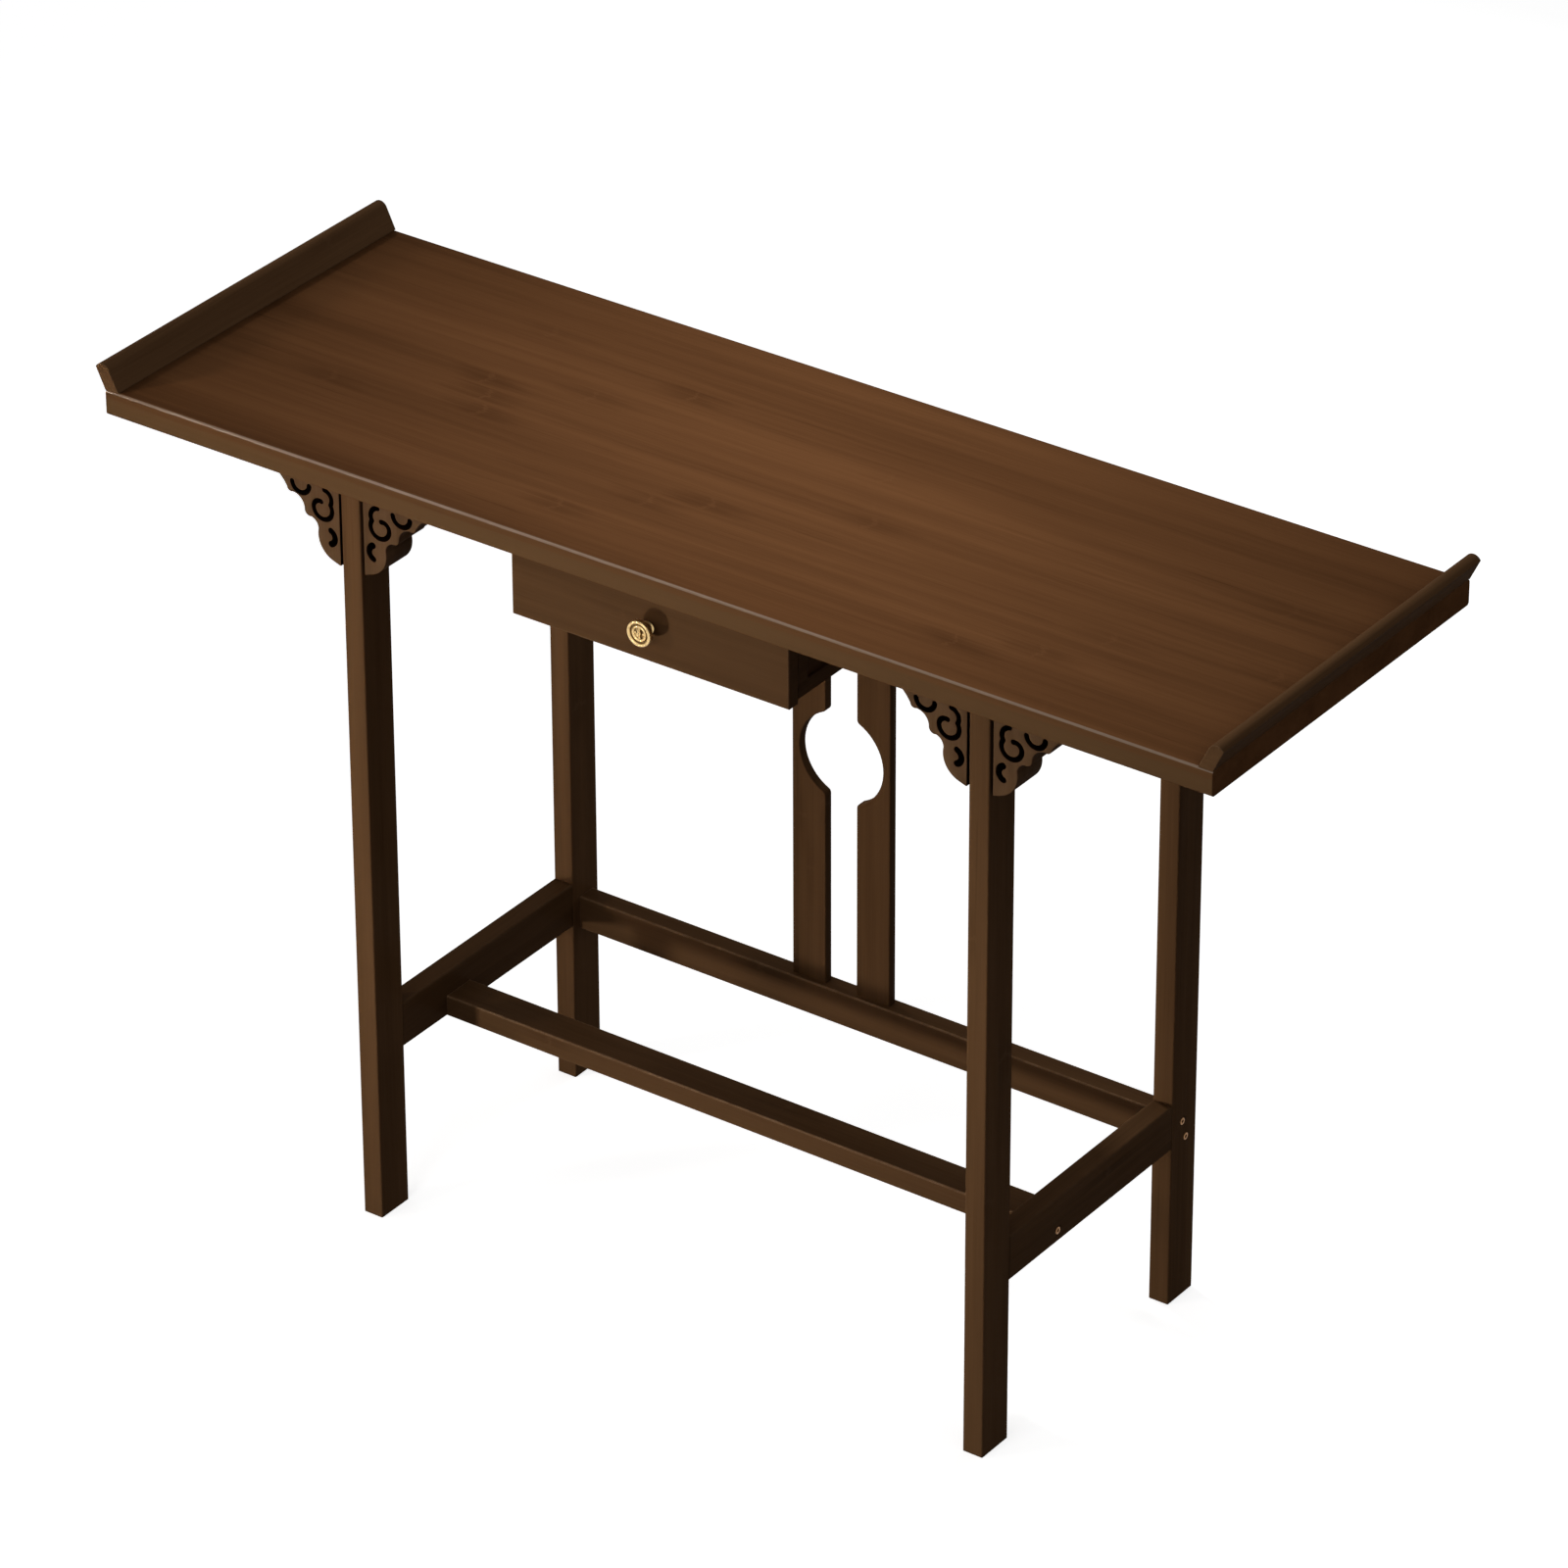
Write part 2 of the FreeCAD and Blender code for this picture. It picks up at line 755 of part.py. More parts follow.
def splat_span(side):
    """Limits of one splat along X."""
    inner = s.splat_middle + side * (s.splat_gap / 2)
    outer = inner + side * s.splat_width
    return (outer, inner) if side == LEFT else (inner, outer)


def tenon(side, z, slack):
    """A splat's tenon, or with slack its mortise."""
    low, high = splat_span(side)
    return box(
        (low + s.tenon_shoulder - slack, high - s.tenon_shoulder + slack),
        (splat_y[0] + s.tenon_cheek - slack, splat_y[1] - s.tenon_cheek + slack),
        z,
    )


mortise_depth = s.tenon_length + s.joint_clearance
lower_mortise = (back_stretcher[1] - mortise_depth, back_stretcher[1])
upper_mortise = (back_rail[0], back_rail[0] + mortise_depth)

back_bar_holes = [tenon(side, lower_mortise, s.joint_clearance) for side in (LEFT, RIGHT)]
front_bar_holes = []
back_rail_holes = [tenon(side, upper_mortise, s.joint_clearance) for side in (LEFT, RIGHT)]
back_rail_holes += rail_screw_holes["upper_back_rail"]
bolts = []
inserts = []
for side in (LEFT, RIGHT):
    starts = [*back_bolt_starts(side), front_bolt_start(side)]
    bolts += [bolt(side, start) for start in starts]
    inserts += [insert_at(side, start) for start in starts]
    for start in back_bolt_starts(side):
        back_bar_holes += insert_holes(side, start)
    front_bar_holes += insert_holes(side, front_bolt_start(side))
    for start in back_rail_dowel_starts(side):
        back_rail_holes.append(dowel_hole(*start, back_rail_reach, s.dowel_radius))
bar = eased_bar("yz", across, back_bar, back_stretcher, s.edge_round)
keep("back_stretcher", cut(bar, back_bar_holes))
bar = eased_bar("yz", across, front_bar, front_stretcher, s.edge_round)
keep("front_stretcher", cut(bar, front_bar_holes))
bar = eased_bar("yz", across, back_bar, back_rail, s.edge_round)
keep("upper_back_rail", cut(bar, back_rail_holes))
group("stretcher_bolts", bolts)
group("threaded_inserts", inserts)

rail_dowels = []
for side in (LEFT, RIGHT):
    for start, direction in rail_dowel_starts(side):
        rail_dowels.append(dowel(start, direction, s.dowel_reach, s.dowel_radius))
    for start, direction in back_rail_dowel_starts(side):
        rail_dowels.append(dowel(start, direction, back_rail_reach, s.dowel_radius))
group("rail_dowels", rail_dowels)


# Splats: two boards whose facing edges are hollowed into one round moon gate
def splat(side):
    low, high = splat_span(side)
    outer, inner = (low, high) if side == LEFT else (high, low)
    bottom, top = back_stretcher[1], back_rail[0]
    half_gap = s.splat_gap / 2
    rise = root(s.moon_radius * s.moon_radius - half_gap * half_gap)
    deepest = s.splat_middle + side * s.moon_radius
    steps = [
        (inner, bottom),
        (inner, s.moon_height - rise),
        (deepest, s.moon_height, inner, s.moon_height + rise),
        (inner, top),
        (outer, top),
        (outer, bottom),
    ]
    board = prism("xz", -splat_y[1], s.splat_thickness, (outer, bottom), steps)
    doc.recompute()
    heights = (s.moon_height.value - rise.value, s.moon_height.value + rise.value)
    corners = []
    for index, edge in enumerate(board.Tip.Shape.Edges, start=1):
        middle = edge.CenterOfMass
        along_y = abs(edge.BoundBox.YLength - s.splat_thickness.value) < SAME_PLACE
        at_gap = abs(middle.x - inner.value) < SAME_PLACE
        at_moon = min(abs(middle.z - height) for height in heights) < SAME_PLACE
        if along_y and at_gap and at_moon:
            corners.append(f"Edge{index}")
    rounding = board.newObject("PartDesign::Fillet", "rounding")
    rounding.Base = (board.Group[1], corners)
    bind(rounding, "Radius", s.moon_corner_round)
    feet = (bottom - s.tenon_length, bottom)
    heads = (top, top + s.tenon_length)
    return joined([board, tenon(side, feet, 0), tenon(side, heads, 0)])


for side in (LEFT, RIGHT):
    keep(f"splat_{side_name(side)}", splat(side))

# Drawer: its front, its box and the case that hangs it under the top
front_y = (
    front_edge + s.drawer_front_setback,
    front_edge + s.drawer_front_setback + s.drawer_front_thickness,
)
front_z = (
    underside - s.drawer_top_gap - s.drawer_front_height,
    underside - s.drawer_top_gap,
)
front_half = s.drawer_front_width / 2
case_out = front_half - s.case_side_inset
case_in = case_out - s.case_side_thickness
case_y = (front_y[1] + s.drawer_front_gap, back_bar[0] - s.case_rear_gap)
case_z = (front_z[0] + s.case_bottom_rise, underside)
case_back_y = (case_y[1] - s.case_back_thickness, case_y[1])
runner_z = (front_z[0] + s.runner_rise, front_z[0] + s.runner_rise + s.runner_height)
box_out = case_in - s.drawer_side_gap
box_in = box_out - s.drawer_side_thickness
box_y = (front_y[1], case_back_y[0] - s.drawer_rear_gap)
box_z = (
    front_z[0] + s.drawer_side_rise,
    front_z[0] + s.drawer_side_rise + s.drawer_side_height,
)
box_back_y = (box_y[1] - s.drawer_back_thickness, box_y[1])
bottom_z = (
    box_z[0] + s.drawer_bottom_rise,
    box_z[0] + s.drawer_bottom_rise + s.drawer_bottom_thickness,
)
knob_z = (front_z[0] + front_z[1]) / 2
runner_y = (case_y[0], case_back_y[0])

# Pegs and runner screws along the case, as shares of its depth
CASE_FIXING_SHARES = (0.12, 0.5, 0.8)
case_pegs = []
case_peg_holes = []
runner_screws = []


def runner_screw_starts(side):
    """Where the runner's screws have their heads, flush with its inner face."""
    face = case_in - s.runner_projection
    for share in CASE_FIXING_SHARES:
        along = runner_y[0] + (runner_y[1] - runner_y[0]) * share
        yield (side * face, along, (runner_z[0] + runner_z[1]) / 2)


for side in (LEFT, RIGHT):
    way = outward(side)
    wall_x = mirrored_span(side, case_in, case_out)
    wall = box(wall_x, case_y, case_z)
    field_x = mirrored_span(side, case_out - s.case_field_depth, case_out)
    field_z = (case_z[0] + s.case_frame, case_z[1] - s.case_frame)
    field = box(field_x, (case_y[0] + s.case_frame, case_y[1] - s.case_frame), field_z)
    housing_x = mirrored_span(side, case_in, case_in + s.case_housing)
    housing = box(housing_x, case_back_y, case_z)
    pegs = []
    for share in CASE_FIXING_SHARES:
        spot = (
            side * (case_in + case_out) / 2,
            case_y[0] + (case_y[1] - case_y[0]) * share,
            underside,
        )
        pegs.append((spot, "+z"))
    wall_holes = [dowel_hole(*peg, s.peg_reach, s.peg_radius) for peg in pegs]
    case_peg_holes += [dowel_hole(*peg, s.peg_reach, s.peg_radius) for peg in pegs]
    case_pegs += [dowel(*peg, s.peg_reach, s.peg_radius) for peg in pegs]

    runner_x = mirrored_span(side, case_in - s.runner_projection, case_in)
    strip = box(runner_x, runner_y, runner_z)
    strip_holes = []
    for start in runner_screw_starts(side):
        length = s.runner_projection + s.runner_screw_bite
        sink = s.runner_screw_head_radius - s.runner_screw_radius
        head = taper(way, start, s.runner_screw_head_radius, s.runner_screw_radius, sink)
        shank = rod(way, start, s.runner_screw_radius, length)
        runner_screws.append(joined([head, shank]))
        slack = s.joint_clearance
        strip_holes.append(
            taper(
                way,
                start,
                s.runner_screw_head_radius + slack,
                s.runner_screw_radius + slack,
                sink,
            )
        )
        strip_holes.append(hole(way, start, s.runner_screw_radius, s.runner_projection))
        wall_holes.append(hole(way, start, s.runner_screw_radius, length))
    keep(f"drawer_runner_{side_name(side)}", cut(strip, strip_holes))
    keep(f"drawer_case_side_{side_name(side)}", cut(wall, [field, housing] + wall_holes))

back_half = case_in + s.case_housing - s.joint_clearance
keep(
    "drawer_case_back",
    box(
        (-back_half, back_half),
        (case_back_y[0] + s.joint_clearance, case_back_y[1]),
        case_z,
    ),
)
group("case_pegs", case_pegs)
group("runner_screws", runner_screws)

# Drawer box: sides with a groove for the runner, a bottom let into three grooves
drawer_pegs = []
front_board_holes = []
groove_slack = s.joint_clearance
bottom_groove_z = (bottom_z[0] - groove_slack, bottom_z[1] + groove_slack)
bottom_reach = box_in + s.drawer_groove - groove_slack
PEG_HEIGHT_SHARES = (0.4, 0.75)
for side in (LEFT, RIGHT):
    board_x = mirrored_span(side, box_in, box_out)
    board = box(board_x, box_y, box_z)
    track_depth = s.runner_projection - s.drawer_side_gap + s.runner_clearance
    track_x = mirrored_span(side, box_out - track_depth, box_out)
    track_z = (runner_z[0] - s.runner_clearance, runner_z[1] + s.runner_clearance)
    track = box(track_x, box_y, track_z)
    groove_x = mirrored_span(side, box_in, box_in + s.drawer_groove)
    groove = box(groove_x, box_y, bottom_groove_z)
    rear_y = (box_back_y[0] - groove_slack, box_y[1])
    rear_groove = box(groove_x, rear_y, (bottom_groove_z[1], box_z[1]))
    side_holes = []
    for share in PEG_HEIGHT_SHARES:
        height = box_z[0] + s.drawer_side_height * share
        # The front joint's pegs lie in the inner half of the side, clear of the track.
        ahead = (side * (box_in + s.peg_radius + s.joint_clearance * 2), box_y[0], height)
        drawer_pegs.append(dowel(ahead, "+y", s.peg_reach, s.peg_radius))
        side_holes.append(dowel_hole(ahead, "+y", s.peg_reach, s.peg_radius))
        front_board_holes.append(dowel_hole(ahead, "+y", s.peg_reach, s.peg_radius))
    keep(f"drawer_side_{side_name(side)}", cut(board, [track, groove, rear_groove] + side_holes))

back_board_z = (bottom_z[1] + groove_slack, box_z[1])
keep("drawer_back", box((-bottom_reach, bottom_reach), box_back_y, back_board_z))
keep(
    "drawer_bottom",
    box(
        (-bottom_reach, bottom_reach),
        (front_y[1] - s.drawer_groove + groove_slack, box_y[1]),
        bottom_z,
    ),
)
group("drawer_pegs", drawer_pegs)

slab = prism(
    "xz",
    -front_y[1],
    s.drawer_front_thickness,
    (-front_half, front_z[0]),
    [
        (front_half, front_z[0]),
        (front_half, front_z[1]),
        (-front_half, front_z[1]),
        (-front_half, front_z[0]),
    ],
)
doc.recompute()
front_face = next(
    f"Face{index}"
    for index, face in enumerate(slab.Tip.Shape.Faces, start=1)
    if abs(face.CenterOfMass.y - front_y[0].value) < SAME_PLACE
)
easing = slab.newObject("PartDesign::Fillet", "easing")
easing.Base = (slab.Group[1], [front_face])
bind(easing, "Radius", s.edge_round)
front_groove = box(
    (-bottom_reach, bottom_reach),
    (front_y[1] - s.drawer_groove, front_y[1]),
    bottom_groove_z,
)
knob_hole = hole("+y", (0, front_y[0], knob_z), s.knob_screw_radius, s.drawer_front_thickness)
keep("drawer_front", cut(slab, front_board_holes + [front_groove, knob_hole]))

# Knob: a turned brass disc with a raised rim on a waisted neck. Its section is drawn by
# radius and by depth behind the foremost point of the rim.
knob_body = doc.addObject("PartDesign::Body", "knob_body")
knob_sketch = new_sketch(knob_body, "xy", 0)
groove_radius = s.knob_radius - s.knob_rim_width


def on_knob(radius, depth):
    """A point of the knob's section."""
    return as_size(radius), depth - s.knob_reach


knob_middle = on_knob(0, s.knob_dish_depth)
draw_outline(
    knob_sketch,
    knob_middle,
    [
        (
            *on_knob(groove_radius / 2, s.knob_dish_depth - s.knob_dome_swell),
            *on_knob(groove_radius, s.knob_groove_depth),
        ),
        (
            *on_knob((groove_radius + s.knob_radius) / 2, as_size(0)),
            *on_knob(s.knob_radius, s.knob_shoulder_depth),
        ),
        (
            *on_knob(s.knob_radius - s.knob_edge_taper, s.knob_edge_depth),
            *on_knob(s.knob_back_radius, s.knob_back_depth),
        ),
        (
            *on_knob(s.knob_neck_radius, s.knob_neck_depth),
            *on_knob(s.knob_foot_radius, s.knob_reach),
        ),
        on_knob(0, s.knob_reach),
        knob_middle,
    ],
)
turning = knob_body.newObject("PartDesign::Revolution", "turning")
turning.Profile = knob_sketch
turning.ReferenceAxis = (knob_sketch, ["V_Axis"])
turning.Angle = 360
bind(knob_body, "Placement.Base.y", front_y[0])
bind(knob_body, "Placement.Base.z", knob_z)
screw_start = (0, front_y[1], knob_z)
screw_length = s.drawer_front_thickness + s.knob_screw_bite
thread_hole = hole("-y", screw_start, s.knob_screw_radius, screw_length)
keep("knob", cut(knob_body, [thread_hole]))

screw_head = rod("+y", screw_start, s.knob_screw_head_radius, s.knob_screw_head_height)
screw_shank = rod("-y", screw_start, s.knob_screw_radius, screw_length)
keep("knob_screw", joined([screw_head, screw_shank]))

# Top board and its two upturned end flanges
FLANGE_PEG_SHARES = (0.12, 0.5, 0.88)
flange_pegs = []
flange_peg_holes = {LEFT: [], RIGHT: []}
# The pegs stand upright in the leaning flange, so they are set out by its lean at half
# of their reach.
peg_lean = s.flange_lean * (s.peg_reach / (s.flange_side_height * 2))


def flange_peg_spots(side):
    """Where the pegs of one flange cross the top's surface."""
    for share in FLANGE_PEG_SHARES:
        along = side * (half_length - s.flange_base / 2 + peg_lean)
        yield (along, front_edge + s.top_depth * share, s.top_height)


for side in (LEFT, RIGHT):
    for spot in flange_peg_spots(side):
        flange_pegs.append(dowel(spot, "+z", s.peg_reach, s.peg_radius))
        flange_peg_holes[side].append(dowel_hole(spot, "+z", s.peg_reach, s.peg_radius))
group("flange_pegs", flange_pegs)

top_board = eased_bar(
    "yz",
    (-half_length, half_length),
    (front_edge, back_edge),
    (underside, s.top_height),
    s.top_edge_round,
)
top_holes = top_peg_holes + top_screw_holes + case_peg_holes
keep("tabletop", cut(top_board, top_holes + flange_peg_holes[LEFT] + flange_peg_holes[RIGHT]))

for side in (LEFT, RIGHT):
    outer = side * half_length
    inner = side * (half_length - s.flange_base)
    lean = side * s.flange_lean
    shoulder = s.top_height + s.flange_side_height
    crown = (outer + inner) / 2 + lean
    steps = [
        (inner + lean, shoulder),
        (crown, shoulder + s.flange_crown, outer + lean, shoulder),
        (outer, s.top_height),
        (inner, s.top_height),
    ]
    lip = prism("xz", -back_edge, s.top_depth, (inner, s.top_height), steps)
    holes = [
        dowel_hole(spot, "+z", s.peg_reach, s.peg_radius) for spot in flange_peg_spots(side)
    ]
    keep(f"end_flange_{side_name(side)}", cut(lip, holes))

# Check every object, then write one file for each piece
doc.recompute()
for thing in doc.Objects:
    if "Invalid" in thing.State or "Error" in thing.State:
        raise ValueError(f"{thing.Label} did not build: {thing.State}")
for label, thing in nodes.items():
    if thing.Shape.isNull() or not thing.Shape.isValid():
        raise ValueError(f"{label} has no valid shape")
for label, thing in nodes.items():
    thing.Shape.exportStep(f"parts/{label}.step")
    print(label, len(thing.Shape.Solids), round(thing.Shape.Volume))
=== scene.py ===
# %% [markdown]
# # An altar table in stained bamboo
# The real table is a long board with upturned ends on four slim legs, with carved scroll
# brackets, a round moon gate between two back splats, and one shallow drawer. The solids come
# ready made from the imported frame, so this lesson is about what a solid cannot hold: bamboo
# fibre and node marks, painted shade in the carving's hollows, worn edges that also carry a
# painted highlight, turned brass, and the light of a plain studio.

# %% Load the frame
import json
import math

import bmesh
import bpy
from mathutils import Matrix, Vector

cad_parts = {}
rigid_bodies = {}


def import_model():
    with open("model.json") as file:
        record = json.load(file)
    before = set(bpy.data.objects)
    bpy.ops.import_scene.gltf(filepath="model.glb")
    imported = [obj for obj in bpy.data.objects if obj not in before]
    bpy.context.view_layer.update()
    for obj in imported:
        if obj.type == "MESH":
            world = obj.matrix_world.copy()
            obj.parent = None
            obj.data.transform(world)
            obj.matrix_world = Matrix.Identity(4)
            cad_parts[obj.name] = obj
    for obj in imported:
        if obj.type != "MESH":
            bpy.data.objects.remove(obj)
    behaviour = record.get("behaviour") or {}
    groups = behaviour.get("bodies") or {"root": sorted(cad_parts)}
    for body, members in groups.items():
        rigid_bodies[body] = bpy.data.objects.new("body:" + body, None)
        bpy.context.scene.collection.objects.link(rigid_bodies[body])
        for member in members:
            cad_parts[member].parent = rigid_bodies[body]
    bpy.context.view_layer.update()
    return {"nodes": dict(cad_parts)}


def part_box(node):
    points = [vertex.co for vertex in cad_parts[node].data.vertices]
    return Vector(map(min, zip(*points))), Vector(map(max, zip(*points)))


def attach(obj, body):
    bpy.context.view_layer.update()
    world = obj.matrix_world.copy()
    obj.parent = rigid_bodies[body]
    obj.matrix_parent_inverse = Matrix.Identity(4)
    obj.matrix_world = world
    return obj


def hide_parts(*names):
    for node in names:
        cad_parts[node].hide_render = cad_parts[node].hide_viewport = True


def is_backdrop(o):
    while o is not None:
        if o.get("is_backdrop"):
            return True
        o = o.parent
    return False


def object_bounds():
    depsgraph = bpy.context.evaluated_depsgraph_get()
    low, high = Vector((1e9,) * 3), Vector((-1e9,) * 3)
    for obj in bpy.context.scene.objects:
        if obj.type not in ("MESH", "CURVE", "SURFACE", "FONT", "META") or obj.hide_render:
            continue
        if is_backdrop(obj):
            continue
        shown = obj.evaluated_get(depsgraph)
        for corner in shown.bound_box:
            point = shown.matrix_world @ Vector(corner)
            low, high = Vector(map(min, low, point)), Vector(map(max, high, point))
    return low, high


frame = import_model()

scene = bpy.context.scene
scene.view_settings.view_transform = "Standard"

# %% [markdown]
# ## Camera
# The photograph looks down on the table from the front right through a long lens, so its lines
# hardly converge. A camera is easiest to read as a turn about the table, a height above the
# horizon, a distance, and a point to aim at. The image is square, so the sensor's width counts
# both ways.

# %% Camera
VIEW_AZIMUTH = math.radians(35.661)
VIEW_ELEVATION = math.radians(30.179)
VIEW_ROLL = math.radians(-0.198)
VIEW_DISTANCE = 7.5025
AIM = Vector((-0.0004, 0.0152, 0.4870))
SENSOR_WIDTH = 36.0
FOCAL_LENGTH = 192.27


def toward_camera(azimuth, elevation):
    """The direction from the table to a camera that stands round it."""
    level = math.cos(elevation)
    return Vector((math.sin(azimuth) * level, -math.cos(azimuth) * level, math.sin(elevation)))


back = toward_camera(VIEW_AZIMUTH, VIEW_ELEVATION)
lens = bpy.data.cameras.new("photo_lens")
lens.sensor_width = SENSOR_WIDTH
lens.lens = FOCAL_LENGTH
camera = bpy.data.objects.new("photo_camera", lens)
camera.location = AIM + back * VIEW_DISTANCE
level_view = (-back).to_track_quat("-Z", "Y").to_matrix()
camera.rotation_euler = (level_view @ Matrix.Rotation(VIEW_ROLL, 3, "Z")).to_euler()
scene.collection.objects.link(camera)
scene.camera = camera
print("camera at", [round(x, 3) for x in camera.location])

# %% [markdown]
# ## Small helpers for node trees
# Every finish below is a tree of shader nodes. Adding a node, setting its values and wiring its
# inputs are the same three steps each time, so they share one helper. An input that is given a
# socket is linked, and any other value is typed into it.

# %% Node helpers
NUMBER, COLOUR, VECTOR = "NodeSocketFloat", "NodeSocketColor", "NodeSocketVector"
# Places of the amount, the two colours and the result among the sockets of a Mix node
MIX_INPUTS = (0, 6, 7)
MIX_RESULT = 2


def add_node(tree, kind, inputs=None, **settings):
    """Add one node, set its properties, then fill or link its inputs."""
    made = tree.nodes.new(kind)
    for name, value in settings.items():
        setattr(made, name, value)
    for key, value in (inputs or {}).items():
        if isinstance(value, bpy.types.NodeSocket):
            tree.links.new(value, made.inputs[key])
        else:
            made.inputs[key].default_value = value
    return made


def calc(tree, operation, *values, clamp=False):
    """One step of arithmetic, as a socket."""
    inputs = dict(enumerate(values))
    return add_node(tree, "ShaderNodeMath", inputs, operation=operation, use_clamp=clamp).outputs[0]


def remap(tree, value, low, high, to_low=0.0, to_high=1.0):
    """A value stretched smoothly from one range to another."""
    inputs = dict(enumerate((value, low, high, to_low, to_high)))
    return add_node(
        tree, "ShaderNodeMapRange", inputs, interpolation_type="SMOOTHSTEP"
    ).outputs["Result"]


def blend_colour(tree, amount, first, second):
    """Two colours mixed by an amount."""
    inputs = dict(zip(MIX_INPUTS, (amount, first, second)))
    return add_node(tree, "ShaderNodeMix", inputs, data_type="RGBA").outputs[MIX_RESULT]


def noise(tree, vector, scale, detail=2.0, roughness=0.5):
    """A soft random value over space."""
    inputs = {"Vector": vector, "Scale": scale, "Detail": detail, "Roughness": roughness}
    return add_node(tree, "ShaderNodeTexNoise", inputs).outputs["Fac"]


def stretched(tree, vector, along, across):
    """Coordinates squeezed so that a pattern runs long along the first axis."""
    inputs = {"Vector": vector, "Scale": (along, across, across)}
    return add_node(tree, "ShaderNodeMapping", inputs).outputs["Vector"]


def new_group(name, inputs, outputs):
    """A shader group with named sockets, and its two end nodes."""
    tree = bpy.data.node_groups.new(name, "ShaderNodeTree")
    for label, kind, default in inputs:
        socket = tree.interface.new_socket(label, in_out="INPUT", socket_type=kind)
        if default is not None:
            socket.default_value = default
    for label, kind in outputs:
        tree.interface.new_socket(label, in_out="OUTPUT", socket_type=kind)
    start = tree.nodes.new("NodeGroupInput").outputs
    end = tree.nodes.new("NodeGroupOutput").inputs
    return tree, start, end


print("node helpers ready")

# %% [markdown]
# ## Bamboo grain
# Laminated bamboo is glued up from strips a thumb wide. Under a dark stain their seams vanish:
# what is left is broad smoky bands along the fibres, fine streaks, and here and there a node, a
# small feathered chevron across one strip with a dark smudge that fades to both sides. A picture
# of wood would be quicker, but a group built from coordinates has no seams, runs through the
# solid, and can be turned to follow each piece. The group takes coordinates whose first axis
# runs along the fibres, in metres, so its marks keep their size on every piece.

# %% Bamboo grain group
# Lengths are in metres along the fibres, and a fade runs from where a mark is gone to where it
# is full.
NODE_SCATTER = 7.0
NODE_CHANCE = (0.35, 1.0)
CHEVRON_SLANT = 0.014
CHEVRON_RAGGED = 0.016
CHEVRON_FADE = (0.0035, 0.0008)
STRIP_EDGE_FADE = (0.5, 0.3)
SMUDGE_WANDER = 0.07
SMUDGE_FADE = (0.055, 0.004)
THREAD_FADE = (0.66, 0.8)
STRIP_CONTRAST = 0.09
MIDDLE_TONE = 0.5
# Repeats in a metre along and across the fibres, then the noise's detail and roughness
RAGGED_NOISE = (150.0, 420.0, 2.0, 0.6)
LOOSE_NOISE = (14.0, 70.0, 2.0, 0.6)
FIBRE_NOISE = (11.0, 1000.0, 3.0, 0.6)
STREAK_NOISE = (2.6, 120.0, 3.0, 0.55)
SMOKE_NOISE = (1.3, 26.0, 2.0, 0.5)
THREAD_NOISE = (8.0, 240.0, 1.0, 0.5)
WOOD_ROUGHNESS = 0.4
FIBRE_ROUGHNESS = 0.22
SMUDGE_ROUGHNESS = 0.06
CHEVRON_HEIGHT = 0.3


def grain_noise(tree, place, along, across, detail, roughness):
    """A noise drawn out along the fibres."""
    return noise(tree, stretched(tree, place, along, across), 1.0, detail, roughness)


def centred(tree, value):
    """A value between 0 and 1 moved so that its middle is 0."""
    return calc(tree, "SUBTRACT", value, 0.5)


def chance_of(tree, first, second):
    """A random value that is the same wherever both numbers are the same."""
    cell = add_node(tree, "ShaderNodeCombineXYZ", {0: first, 1: second}).outputs[0]
    return add_node(tree, "ShaderNodeTexWhiteNoise", {"Vector": cell}).outputs["Value"]


def node_marks(tree, place, along, across, chance, spacing):
    """The chevrons of the bamboo's nodes, and the smudges beside them."""
    turns = calc(tree, "DIVIDE", along, spacing)
    turns = calc(tree, "MULTIPLY_ADD", chance, NODE_SCATTER, turns)
    from_node = calc(tree, "MULTIPLY", centred(tree, calc(tree, "FRACT", turns)), spacing)
    strength = remap(tree, chance_of(tree, calc(tree, "FLOOR", turns), chance), *NODE_CHANCE)
    aside = calc(tree, "ABSOLUTE", centred(tree, calc(tree, "FRACT", across)))
    ragged = centred(tree, grain_noise(tree, place, *RAGGED_NOISE))
    drawn_back = calc(tree, "MULTIPLY_ADD", aside, CHEVRON_SLANT, from_node)
    broken = calc(tree, "MULTIPLY_ADD", ragged, CHEVRON_RAGGED, drawn_back)
    off_mark = calc(tree, "ABSOLUTE", broken)
    inside = calc(tree, "MULTIPLY", strength, remap(tree, aside, *STRIP_EDGE_FADE))
    mark = calc(tree, "MULTIPLY", remap(tree, off_mark, *CHEVRON_FADE), inside)
    loose = grain_noise(tree, place, *LOOSE_NOISE)
    off_node = calc(tree, "MULTIPLY_ADD", centred(tree, loose), SMUDGE_WANDER, from_node)
    smudge = remap(tree, calc(tree, "ABSOLUTE", off_node), *SMUDGE_FADE)
    return mark, calc(tree, "MULTIPLY", smudge, inside)


